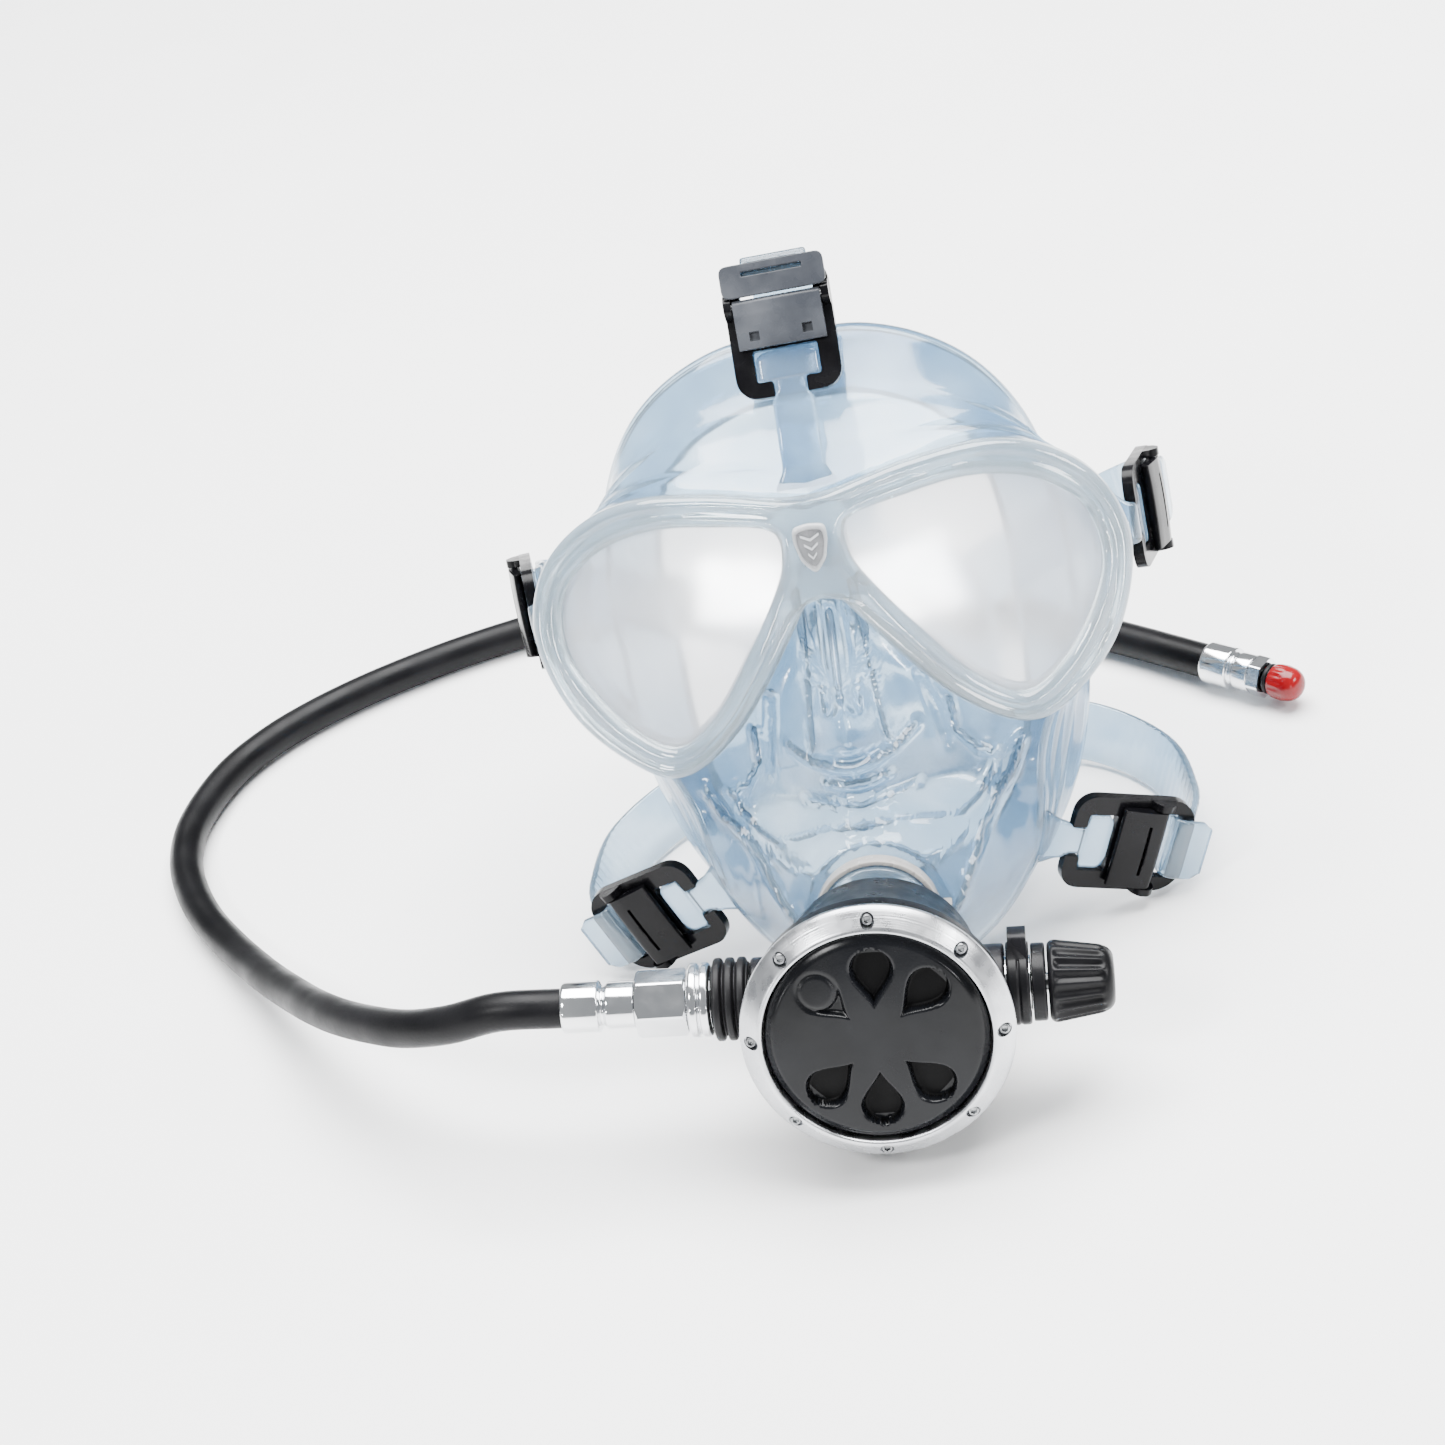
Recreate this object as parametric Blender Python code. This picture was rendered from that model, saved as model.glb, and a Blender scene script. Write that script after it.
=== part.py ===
"""Full-face diving mask: twin-lens silicone mask, five-strap harness, demand regulator and supply hose."""

import math

import bmesh
import bpy
from mathutils import Matrix, Vector

# ---- driving dimensions (millimetres and degrees) ----
FRAME_HALF_WIDTH = 86.0      # lens frame, centre line to outer edge
LENS_SLOPE = 0.27            # each lens plane runs back by this much per unit of width
BRIDGE_BLEND = 5.0           # rounding of the wrap across the bridge
GLASS_THICK = 4.0
BEZEL_THICK = 3.7
FRAME_DEPTH = 6.0
GLASS_OVERLAP = 1.5          # glass edge hidden under the bezel
SKIRT_WALL = 2.6
SKIRT_FRONT = 6.9            # skirt front face behind the lens front face
SKIRT_HEIGHT_SCALE = 1.0
RIM_FLANGE = 19.0            # width of the inward face seal
NOSE_DEPTH = 17.0
PORT_RADIUS = 16.0
PORT_BORE = 13.4
LEAN = 20.0                  # mask leans back as it stands
REG_TILT = 5.0               # regulator axis dips below the mask axis
REG_SWIVEL = 6.0             # regulator turned in its port
REG_Y = -21.0                # port axis at the back of the case
REG_Z = -90.0
CASE_DROP = -12.0            # case axis below the mouth tube axis
CASE_DEPTH = 39.0
CASE_BACK_RADIUS = 27.0
CASE_FRONT_RADIUS = 31.0
EXHAUST_DROP = 17.2          # exhaust valve below the case axis
RING_RADIUS = 37.0
RING_BORE = 30.6
VALVE_Y = -22.0              # valve tube axis, forward of the case back
VALVE_Z = -10.0
VALVE_RADIUS = 7.5
VALVE_BORE = 5.6
KNOB_LENGTH = 18.0
BUCKLE_LENGTH = 38.0
BUCKLE_WIDTH = 30.0
BUCKLE_THICK = 3.2
STRAP_WIDTH = 19.0
STRAP_THICK = 2.0
HOSE_DIAMETER = 11.0
HOSE_STEP = 1.6              # spacing of the hose's points, in diameters
STANCE_Y = 0.1               # mask reference point above the standing surface
STANCE_Z = 123.25
GAP = 0.3
SHARP_ANGLE = 35.0           # edges flatter than this are shaded smooth
HEAD_WIDTH = 17.6            # T-head of a silicone tab, its neck and the play around both
NECK_WIDTH = 8.6
HEAD_PLAY = 0.4
TAIL_LENGTH = 5.0            # strap beyond the buckle's end bar
COVER_HEIGHT = 6.4           # underside of the top buckle's cover plate above its back face

# right half of the lens frame edge, bridge top to nose notch
FRAME_EDGE = [(0, 27.5), (8, 28.5), (28, 32), (50, 33), (66, 28), (79, 17), (85.4, 2), (84.6, -13),
              (78, -29), (67, -41), (55, -48), (44, -46), (31, -36), (20, -23), (9, -8), (0, 1)]
# right lens opening
LENS_EDGE = [(11, 20), (27, 23), (45, 24), (62, 19.5), (74, 9), (77, -6), (72, -20), (62, -33),
             (50, -39.5), (37, -31), (24, -14), (14, 1), (9.5, 11)]
# right half of the skirt front edge and of its rear face rim, crown to chin
SKIRT_EDGE = [(0, 25.5), (8, 27), (28, 30.5), (50, 31.5), (65, 26.5), (77, 16), (83.4, 2), (82.6, -13),
              (76, -28), (65.5, -40), (57, -50), (52, -62), (49.5, -76), (45, -91), (33, -104),
              (17, -112), (0, -115)]
RIM_EDGE = [(0, 66), (20, 65), (38, 58), (52, 46), (62, 28), (67, 5), (68, -20), (67, -45), (62, -68),
            (53, -86), (42, -98), (26, -106.5), (11, -111), (0, -112)]
RIM_DEPTH = [(-112, 32), (-94, 42), (-60, 52), (-20, 56), (27, 52), (66, 46)]
SKIRT_CENTRE = (0.0, -25.0)
LENS_CENTRE = (44.0, -4.0)

# free hose, on its way over the surface (x, y, z of the centre line)
HOSE_ROUTE = [(-132, -62, 43), (-163, -35, 30), (-190, 1, 16), (-209, 29, 8.5), (-224, 52, 6.2),
              (-235, 77, 5.8), (-238, 100, 5.8), (-233, 122, 5.8), (-221, 143, 5.8), (-198, 162, 5.8),
              (-168, 177, 5.8), (-134, 188, 5.8), (-100, 193, 5.8), (-64, 191, 5.8), (-27, 183, 5.8),
              (10, 168.5, 5.8), (43, 149.5, 6), (74, 126, 6.6), (103, 101.5, 7.4)]


def material(name, colour, roughness, metallic=0.0, alpha=1.0):
    found = bpy.data.materials.get(name)
    if found:
        return found
    made = bpy.data.materials.new(name)
    made.use_nodes = True
    shader = made.node_tree.nodes["Principled BSDF"]
    shader.inputs["Base Color"].default_value = (*colour, 1.0)
    shader.inputs["Roughness"].default_value = roughness
    shader.inputs["Metallic"].default_value = metallic
    shader.inputs["Alpha"].default_value = alpha
    return made


def silicone():
    return material("clear_silicone", (0.70, 0.76, 0.80), 0.35)


def black_plastic():
    return material("black_plastic", (0.02, 0.02, 0.022), 0.30)


def black_rubber():
    return material("black_rubber", (0.025, 0.025, 0.027), 0.6)


def chrome():
    return material("chromed_brass", (0.80, 0.80, 0.80), 0.12, 1.0)


def steel():
    return material("stainless_steel", (0.62, 0.62, 0.63), 0.3, 1.0)


def smooth_step(value):
    t = min(1.0, max(0.0, value))
    return t * t * (3.0 - 2.0 * t)


def spline(points, closed, per_span):
    count = len(points)
    result = []
    spans = count if closed else count - 1
    for index in range(spans):
        if closed:
            ids = [(index + k) % count for k in (-1, 0, 1, 2)]
        else:
            ids = [min(count - 1, max(0, index + k)) for k in (-1, 0, 1, 2)]
        p0, p1, p2, p3 = [Vector(points[i]) for i in ids]
        for step in range(per_span):
            t = step / per_span
            value = 2 * p1 + (p2 - p0) * t
            value += (2 * p0 - 5 * p1 + 4 * p2 - p3) * t * t
            value += (3 * p1 - p0 - 3 * p2 + p3) * t ** 3
            result.append(value * 0.5)
    if not closed:
        result.append(Vector(points[-1]))
    return result


def ray_point(loop, centre, angle):
    """Farthest crossing of a ray from centre with a closed outline."""
    dx = math.cos(angle)
    dz = math.sin(angle)
    best = 0.0
    for first, second in zip(loop, loop[1:] + loop[:1]):
        ax = first[0] - centre[0]
        az = first[1] - centre[1]
        ex = second[0] - first[0]
        ez = second[1] - first[1]
        cross = dx * ez - dz * ex
        if abs(cross) < 1e-9:
            continue
        along = (ax * ez - az * ex) / cross
        share = (ax * dz - az * dx) / cross
        if -1e-6 <= share <= 1.0 + 1e-6 and along > best:
            best = along
    return Vector((centre[0] + dx * best, centre[1] + dz * best))


def interpolate(table, value):
    if value <= table[0][0]:
        return table[0][1]
    for (x0, y0), (x1, y1) in zip(table, table[1:]):
        if value <= x1:
            return y0 + (y1 - y0) * smooth_step((value - x0) / (x1 - x0))
    return table[-1][1]


def finish_object(name, mesh_data, surface, frame, parent):
    bmesh.ops.recalc_face_normals(mesh_data, faces=mesh_data.faces)
    mesh = bpy.data.meshes.new(name)
    mesh_data.to_mesh(mesh)
    mesh_data.free()
    mesh.transform(Matrix.Scale(0.001, 4))
    mesh.shade_smooth()
    mesh.set_sharp_from_angle(angle=math.radians(SHARP_ANGLE))
    built = bpy.data.objects.new(name, mesh)
    bpy.context.scene.collection.objects.link(built)
    if surface:
        mesh.materials.append(surface)
    built.parent = parent
    local = frame.copy()
    local.translation = local.translation * 0.001
    built.matrix_local = local
    return built


def as_tool(built):
    built.hide_render = True
    built.display_type = "WIRE"
    return built


def combine(target, tool, operation):
    step = target.modifiers.new(tool.name, "BOOLEAN")
    step.operation = operation
    step.solver = "EXACT"
    step.object = as_tool(tool)


def add_lathe(mesh_data, profile, axis, segments, centre=(0, 0, 0), closed=False):
    """Turn (radius, height) pairs about an axis; poles at radius zero."""
    rings = []
    for radius, height in profile:
        ring = []
        steps = 1 if radius < 1e-6 else segments
        for step in range(steps):
            turn = 2 * math.pi * step / segments
            a = radius * math.cos(turn)
            b = radius * math.sin(turn)
            spot = {"X": (height, a, b), "Y": (b, height, a), "Z": (a, b, height)}[axis]
            ring.append(mesh_data.verts.new(Vector(spot) + Vector(centre)))
        rings.append(ring)
    pairs = list(zip(rings, rings[1:]))
    if closed:
        pairs.append((rings[-1], rings[0]))
    for first, second in pairs:
        for step in range(segments):
            after = (step + 1) % segments
            if len(first) == 1:
                mesh_data.faces.new((first[0], second[step], second[after]))
            elif len(second) == 1:
                mesh_data.faces.new((first[step], second[0], first[after]))
            else:
                mesh_data.faces.new((first[step], second[step], second[after], first[after]))


def add_box(mesh_data, low, high, bevel=0.0):
    corners = [mesh_data.verts.new((x, y, z)) for x in (low[0], high[0]) for y in (low[1], high[1])
               for z in (low[2], high[2])]
    quads = ((0, 1, 3, 2), (4, 6, 7, 5), (0, 4, 5, 1), (2, 3, 7, 6), (0, 2, 6, 4), (1, 5, 7, 3))
    faces = [mesh_data.faces.new([corners[i] for i in quad]) for quad in quads]
    if bevel > 0:
        edges = list({edge for face in faces for edge in face.edges})
        bmesh.ops.bevel(mesh_data, geom=edges, offset=bevel, segments=1, affect="EDGES")


def add_prism(mesh_data, outline, low, high, axis="Y"):
    def spot(point, level):
        if axis == "Y":
            return (point[0], level, point[1])
        if axis == "X":
            return (level, point[0], point[1])
        return (point[0], point[1], level)
    near = [mesh_data.verts.new(spot(point, low)) for point in outline]
    far = [mesh_data.verts.new(spot(point, high)) for point in outline]
    mesh_data.faces.new(near)
    mesh_data.faces.new(list(reversed(far)))
    for index in range(len(outline)):
        after = (index + 1) % len(outline)
        mesh_data.faces.new((near[index], near[after], far[after], far[index]))


def add_ribbon(mesh_data, stations):
    """Solid strip through stations of (point, width direction, width, thickness)."""
    rings = []
    for index, (point, side, width, thick) in enumerate(stations):
        before = Vector(stations[max(0, index - 1)][0])
        after = Vector(stations[min(len(stations) - 1, index + 1)][0])
        along = (after - before).normalized()
        across = Vector(side)
        across = (across - along * across.dot(along)).normalized()
        normal = along.cross(across).normalized()
        ring = []
        for a, b in ((-1, -1), (1, -1), (1, 1), (-1, 1)):
            corner = across * (a * width / 2) + normal * (b * thick / 2)
            ring.append(mesh_data.verts.new(Vector(point) + corner))
        rings.append(ring)
    for first, second in zip(rings, rings[1:]):
        for corner in range(4):
            after = (corner + 1) % 4
            mesh_data.faces.new((first[corner], first[after], second[after], second[corner]))
    mesh_data.faces.new(rings[0])
    mesh_data.faces.new(list(reversed(rings[-1])))


def lathe_object(name, profile, axis, segments, surface, frame, parent, closed=False):
    mesh_data = bmesh.new()
    add_lathe(mesh_data, profile, axis, segments, closed=closed)
    return finish_object(name, mesh_data, surface, frame, parent)


def shifted(x, y, z):
    return Matrix.Translation(Vector((x, y, z)))


# ---- lens assembly ----

def wrap(x):
    """How far back the lens planes have run at this distance from the centre line."""
    reach = abs(x)
    if reach < 2 * BRIDGE_BLEND:
        return LENS_SLOPE * reach * reach / (4 * BRIDGE_BLEND)
    return LENS_SLOPE * (reach - BRIDGE_BLEND)


def frame_loop():
    scale = FRAME_HALF_WIDTH / 86.0
    return spline([(x * scale, z) for x, z in FRAME_EDGE], False, 8)


def lens_stations(count=38):
    """Matched frame edge and lens edge points, with the straight join at the bridge marked."""
    outer = frame_loop()
    scale = FRAME_HALF_WIDTH / 86.0
    inner = spline([(x * scale, z) for x, z in LENS_EDGE], True, 8)
    corners = []
    for point in (outer[0], outer[-1]):
        turn = math.atan2(point[1] - LENS_CENTRE[1], point[0] - LENS_CENTRE[0])
        corners.append(turn % (2 * math.pi))
    angles = [2 * math.pi * index / count for index in range(count)]
    angles = [a for a in angles if min(abs(a - c) for c in corners) > math.pi / count]
    angles = sorted(angles + corners)
    stations = []
    for angle in angles:
        edge = ray_point(outer, LENS_CENTRE, angle)
        seam = corners[0] - 1e-6 <= angle <= corners[1] + 1e-6
        if seam:
            edge[0] = 0.0
        stations.append((edge, ray_point(inner, LENS_CENTRE, angle), seam))
    return stations


def rim_body(name, section, seam_section, surface, parent):
    """Both lens surrounds in one piece; section gives ('edge' or 'lens', offset, depth)."""
    mesh_data = bmesh.new()
    for side in (1, -1):
        rings = []
        for edge, lens, seam in lens_stations():
            outward = (edge - lens).normalized()
            ring = []
            for base, offset, depth in (seam_section if seam else section):
                point = (edge if base == "edge" else lens) + outward * offset
                if seam and base == "edge":
                    point = edge.copy()
                ring.append(mesh_data.verts.new((side * point[0], depth + wrap(point[0]), point[1])))
            rings.append((ring, seam))
        for (first, seam_a), (second, seam_b) in zip(rings, rings[1:] + rings[:1]):
            for corner in range(len(section)):
                after = (corner + 1) % len(section)
                wall = section[corner][0] == "edge" and section[after][0] == "edge"
                if seam_a and seam_b and wall:
                    continue
                quad = (first[corner], first[after], second[after], second[corner])
                mesh_data.faces.new(quad if side > 0 else tuple(reversed(quad)))
    bmesh.ops.remove_doubles(mesh_data, verts=mesh_data.verts, dist=0.01)
    loose = [vert for vert in mesh_data.verts if not vert.link_faces]
    bmesh.ops.delete(mesh_data, geom=loose, context="VERTS")
    return finish_object(name, mesh_data, surface, Matrix.Identity(4), parent)


def build_bezel(parent):
    section = [("edge", 0.0, -GAP), ("edge", 0.0, -1.8), ("edge", -2.0, -BEZEL_THICK),
               ("lens", 3.4, -BEZEL_THICK - 0.3), ("lens", 0.0, -1.8), ("lens", 0.0, -GAP)]
    seam = list(section)
    seam[2] = ("edge", 0.0, -BEZEL_THICK)
    milky = material("frosted_polycarbonate", (0.78, 0.82, 0.85), 0.3)
    rim_body("front_bezel", section, seam, milky, parent)


def build_lens_frame(parent):
    section = [("edge", -1.0, 0.0), ("edge", -1.0, FRAME_DEPTH), ("lens", 0.0, FRAME_DEPTH),
               ("lens", 0.0, GLASS_THICK + GAP), ("lens", GLASS_OVERLAP + 0.5, GLASS_THICK + GAP),
               ("lens", GLASS_OVERLAP + 0.5, 0.0)]
    clear = material("clear_polycarbonate", (0.74, 0.79, 0.83), 0.25)
    rim_body("lens_frame", section, section, clear, parent)


def build_lens(name, side, parent):
    mesh_data = bmesh.new()
    loops = [[], []]
    for edge, lens, seam in lens_stations():
        point = lens + (edge - lens).normalized() * GLASS_OVERLAP
        back = LENS_SLOPE * (point[0] - BRIDGE_BLEND)
        for loop, depth in zip(loops, (0.0, GLASS_THICK)):
            loop.append(mesh_data.verts.new((side * point[0], back + depth, point[1])))
    mesh_data.faces.new(loops[0])
    mesh_data.faces.new(list(reversed(loops[1])))
    count = len(loops[0])
    for index in range(count):
        after = (index + 1) % count
        mesh_data.faces.new((loops[0][index], loops[0][after], loops[1][after], loops[1][index]))
    glass = material("tempered_glass", (0.80, 0.86, 0.90), 0.05)
    finish_object(name, mesh_data, glass, Matrix.Identity(4), parent)


def build_badge(parent):
    outline = [(-4.6, 6.4), (0, 7.2), (4.6, 6.4), (4.9, 2.5), (3.4, -3.5), (0, -7.2), (-3.4, -3.5),
               (-4.9, 2.5)]
    outline = [(x, z + 14.5) for x, z in outline]
    mesh_data = bmesh.new()
    add_prism(mesh_data, outline, -BEZEL_THICK - 2.2, -BEZEL_THICK - GAP - 0.25)
    grey = material("grey_plastic", (0.30, 0.31, 0.32), 0.35)
    finish_object("bridge_badge", mesh_data, grey, Matrix.Identity(4), parent)


# ---- skirt ----

def skirt_front_y(x, z):
    """Depth of the skirt's front face: lens seats, nose pocket and mouth chamber."""
    base = wrap(x) + SKIRT_FRONT
    nose = 0.0
    below = -3.0 - z
    if below > 0:
        half = 0.5 + 0.68 * min(below, 46.0)
        lateral = smooth_step(1.0 - abs(x) / half)
        rise = smooth_step(below / 31.0) * (1.0 - 0.4 * smooth_step((below - 37.0) / 20.0))
        nose = NOSE_DEPTH * lateral * rise
    tilt = math.tan(math.radians(REG_TILT))
    dz = z - (REG_Z + 0.6)
    flat = REG_Y + 8.5 - dz * tilt
    radius = math.hypot(x, dz)
    mouth = 0.0
    if radius < 1e-6:
        mouth = base - flat
    else:
        reach_z = 38.0 if dz > 0 else 36.0
        reach = 1.0 / math.hypot(x / radius / 47.0, dz / radius / reach_z)
        land = PORT_RADIUS + 2.5
        mouth = (base - flat) * (1.0 - smooth_step((radius - land) / (reach - land)))
    lift = (max(nose, 0.0) ** 4 + max(mouth, 0.0) ** 4) ** 0.25
    return base - lift


def skirt_rings(angles, shares):
    """Rings of points from the nose outward over the front face, then back to the face seal."""
    scale = FRAME_HALF_WIDTH / 86.0
    front_half = spline([(x * scale, z) for x, z in SKIRT_EDGE], False, 8)
    rim_half = spline([(x, z * SKIRT_HEIGHT_SCALE) for x, z in RIM_EDGE], False, 8)
    front = front_half + [Vector((-p[0], p[1])) for p in reversed(front_half[1:-1])]
    rim = rim_half + [Vector((-p[0], p[1])) for p in reversed(rim_half[1:-1])]
    edge = [ray_point(front, SKIRT_CENTRE, a) for a in angles]
    back = [ray_point(rim, SKIRT_CENTRE, a) for a in angles]
    centre = Vector(SKIRT_CENTRE)
    rings = []
    for share in shares:
        ring = []
        for point in edge:
            spot = centre + (point - centre) * share
            ring.append(Vector((spot[0], skirt_front_y(spot[0], spot[1]), spot[1])))
        rings.append(ring)
    levels = ((0.0, 0.0), (0.36, 0.30), (0.70, 0.62), (1.0, 1.0))
    for spread, depth in levels:
        ring = []
        for point, rear in zip(edge, back):
            start = skirt_front_y(point[0], point[1]) + 5.0
            stop = interpolate(RIM_DEPTH, rear[1]) - 4.0
            spot = point + (rear - point) * spread
            ring.append(Vector((spot[0], start + (stop - start) * depth, spot[1])))
        rings.append(ring)
    for inset, rise in ((-1.0, 0.0), (4.0, 3.0), (12.0, 2.6), (RIM_FLANGE, -2.0)):
        ring = []
        for rear in back:
            inward = (centre - rear).normalized()
            spot = rear + inward * inset
            ring.append(Vector((spot[0], interpolate(RIM_DEPTH, rear[1]) + rise, spot[1])))
        rings.append(ring)
    return rings


def add_shell(mesh_data, centre_point, rings, thickness):
    """Closed shell: the ringed surface, its offset copy and the edge that joins them."""
    surface = bmesh.new()
    pole = surface.verts.new(centre_point)
    loops = [[surface.verts.new(point) for point in ring] for ring in rings]
    count = len(rings[0])
    for index in range(count):
        surface.faces.new((pole, loops[0][(index + 1) % count], loops[0][index]))
    for first, second in zip(loops, loops[1:]):
        for index in range(count):
            after = (index + 1) % count
            surface.faces.new((first[index], first[after], second[after], second[index]))
    surface.normal_update()
    if pole.normal.y > 0:
        bmesh.ops.reverse_faces(surface, faces=surface.faces)
        surface.normal_update()
    surface.verts.index_update()
    order = list(surface.verts)
    outer = [mesh_data.verts.new(vert.co) for vert in order]
    inner = [mesh_data.verts.new(vert.co - vert.normal * thickness) for vert in order]
    for face in surface.faces:
        ids = [vert.index for vert in face.verts]
        mesh_data.faces.new([outer[i] for i in ids])
        mesh_data.faces.new([inner[i] for i in reversed(ids)])
    last = [vert.index for vert in loops[-1]]
    for index in range(count):
        a = last[index]
        b = last[(index + 1) % count]
        mesh_data.faces.new((outer[a], outer[b], inner[b], inner[a]))
    surface.free()


def window_tool(side, parent):
    mesh_data = bmesh.new()
    loops = [[], []]
    for edge, lens, seam in lens_stations(32):
        for loop, depth in zip(loops, (SKIRT_FRONT - 4.0, SKIRT_FRONT + SKIRT_WALL + 1.4)):
            loop.append(mesh_data.verts.new((side * lens[0], depth + wrap(lens[0]), lens[1])))
    mesh_data.faces.new(loops[0])
    mesh_data.faces.new(list(reversed(loops[1])))
    count = len(loops[0])
    for index in range(count):
        after = (index + 1) % count
        mesh_data.faces.new((loops[0][index], loops[0][after], loops[1][after], loops[1][index]))
    name = "tool_window_right" if side > 0 else "tool_window_left"
    return finish_object(name, mesh_data, None, Matrix.Identity(4), parent)


def buckle_frames():
    """Buckle positions: name, T-head centre, strap direction, face normal and tab roots."""
    wide = FRAME_HALF_WIDTH + 1.0
    root = FRAME_HALF_WIDTH - 6.5
    return [
        ("top", (0, 27, 60), (0, 0.30, 0.954), (0, -0.954, 0.30), [(0, 15, 30), (0, 19.5, 42)]),
        ("upper_right", (wide, 42, -2), (0.18, 0.984, 0), (0.984, -0.18, 0), [(root, 31, 0)]),
        ("upper_left", (-wide, 42, -2), (-0.18, 0.984, 0), (-0.984, -0.18, 0), [(-root, 31, 0)]),
        ("lower_right", (60, 31, -92), (0.87, 0.38, -0.32), (0.25, -0.93, -0.25), [(45.5, 25, -87)]),
        ("lower_left", (-60, 31, -92), (-0.87, 0.38, -0.32), (-0.25, -0.93, -0.25), [(-45.5, 25, -87)]),
    ]


def buckle_matrix(head, along, normal):
    u = Vector(along).normalized()
    w = Vector(normal)
    w = (w - u * w.dot(u)).normalized()
    v = w.cross(u)
    turn = Matrix((u, v, w)).transposed().to_4x4()
    return Matrix.Translation(Vector(head)) @ turn


def tabs_tool(parent):
    mesh_data = bmesh.new()
    for name, head, along, normal, roots in buckle_frames():
        frame = buckle_matrix(head, along, normal)
        side = frame.to_3x3() @ Vector((0, 1, 0))
        points = [(Vector(root), side, 14.0, 3.4) for root in roots]
        for u, width, thick in ((-9.0, NECK_WIDTH, 2.4), (-3.6, NECK_WIDTH, 2.4), (-3.2, HEAD_WIDTH, 2.8),
                                (4.8, HEAD_WIDTH, 2.8)):
            points.append((frame @ Vector((u, 0, 1.6)), side, width, thick))
        add_ribbon(mesh_data, points)
    return finish_object("tool_tabs", mesh_data, None, Matrix.Identity(4), parent)


def build_skirt(parent, reg_frame):
    angles = [2 * math.pi * index / 52 for index in range(52)]
    shares = (0.09, 0.20, 0.31, 0.41, 0.51, 0.61, 0.71, 0.80, 0.90, 1.0)
    centre = Vector((SKIRT_CENTRE[0], skirt_front_y(*SKIRT_CENTRE), SKIRT_CENTRE[1]))
    mesh_data = bmesh.new()
    add_shell(mesh_data, centre, skirt_rings(angles, shares), SKIRT_WALL)
    skirt = finish_object("skirt", mesh_data, silicone(), Matrix.Identity(4), parent)
    neck = bmesh.new()
    add_lathe(neck, [(0, GAP * 2), (PORT_RADIUS, GAP * 2), (PORT_RADIUS, 10.0), (0, 10.0)], "Y", 40)
    combine(skirt, finish_object("tool_port_neck", neck, None, reg_frame, parent), "UNION")
    combine(skirt, tabs_tool(parent), "UNION")
    bore = bmesh.new()
    add_lathe(bore, [(0, -3.0), (PORT_BORE, -3.0), (PORT_BORE, 20.0), (0, 20.0)], "Y", 40)
    combine(skirt, finish_object("tool_port_bore", bore, None, reg_frame, parent), "DIFFERENCE")
    for side in (1, -1):
        combine(skirt, window_tool(side, parent), "DIFFERENCE")


# ---- buckles and harness ----

def build_buckle(name, frame, parent):
    half = BUCKLE_WIDTH / 2
    end = BUCKLE_LENGTH - 8.0
    mesh_data = bmesh.new()
    outline = [(-8, -half + 3), (-5, -half), (end - 4, -half), (end, -half + 4), (end, half - 4),
               (end - 4, half), (-5, half), (-8, half - 3)]
    add_prism(mesh_data, outline, 0.0, BUCKLE_THICK, "Z")
    body = finish_object("buckle_body_" + name, mesh_data, black_plastic(), frame, parent)
    ears = bmesh.new()
    for side in (-1, 1):
        low, high = sorted((side * (half - 0.05), side * (half - 2.2)))
        add_box(ears, (15.5, low, 0.5), (21.0, high, 7.2))
    combine(body, finish_object("tool_ears_" + name, ears, None, frame, parent), "UNION")
    slots = bmesh.new()
    neck = NECK_WIDTH / 2 + HEAD_PLAY
    wide = HEAD_WIDTH / 2 + HEAD_PLAY
    head = [(-9, -neck), (-3.6, -neck), (-3.6, -wide), (5.4, -wide), (5.4, wide), (-3.6, wide), (-3.6, neck),
            (-9, neck)]
    add_prism(slots, head, -1.0, BUCKLE_THICK + 1.0, "Z")
    add_box(slots, (20.0, -10.5, -1.0), (end - 4.2, 10.5, BUCKLE_THICK + 1.0))
    add_lathe(slots, [(0, -half - 1), (1.2, -half - 1), (1.2, half + 1), (0, half + 1)], "Y", 10,
              centre=(18.2, 0, 5.2))
    combine(body, finish_object("tool_slots_" + name, slots, None, frame, parent), "DIFFERENCE")
    return body


def add_cover(body, frame, parent):
    """Plate over the strap on the top buckle, carried by the two ears."""
    half = BUCKLE_WIDTH / 2
    end = BUCKLE_LENGTH - 8.0
    plate = bmesh.new()
    add_box(plate, (20.3, 0.2 - half, COVER_HEIGHT), (end - 0.4, half - 0.2, COVER_HEIGHT + 1.2))
    combine(body, finish_object("tool_cover", plate, None, frame, parent), "UNION")


def build_lever(name, frame, parent):
    """Release plate, hinged near the strap slot."""
    reach = BUCKLE_WIDTH / 2 - 2.6
    spot = frame @ shifted(18.2, 0, 5.2)
    mesh_data = bmesh.new()
    side_view = [(-11.6, -1.6), (-1.4, -1.6), (0.2, -1.5), (1.6, -0.4), (1.6, 0.8), (0.6, 1.7), (-9.0, 1.0),
                 (-12.4, 0.2)]
    low = [mesh_data.verts.new((u, -reach, w)) for u, w in side_view]
    high = [mesh_data.verts.new((u, reach, w)) for u, w in side_view]
    mesh_data.faces.new(low)
    mesh_data.faces.new(list(reversed(high)))
    for index in range(len(low)):
        after = (index + 1) % len(low)
        mesh_data.faces.new((low[index], low[after], high[after], high[index]))
    lever = finish_object("buckle_lever_" + name, mesh_data, black_plastic(), spot, parent)
    bore = bmesh.new()
    add_lathe(bore, [(0, -reach - 1), (1.2, -reach - 1), (1.2, reach + 1), (0, reach + 1)], "Y", 10)
    combine(lever, finish_object("tool_bore_" + name, bore, None, spot, parent), "DIFFERENCE")


def build_pin(name, frame, parent):
    half = BUCKLE_WIDTH / 2
    profile = [(0, -half), (0.9, -half), (0.9, half), (0, half)]
    lathe_object("lever_pin_" + name, profile, "Y", 10, steel(), frame @ shifted(18.2, 0, 5.2), parent)


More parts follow.
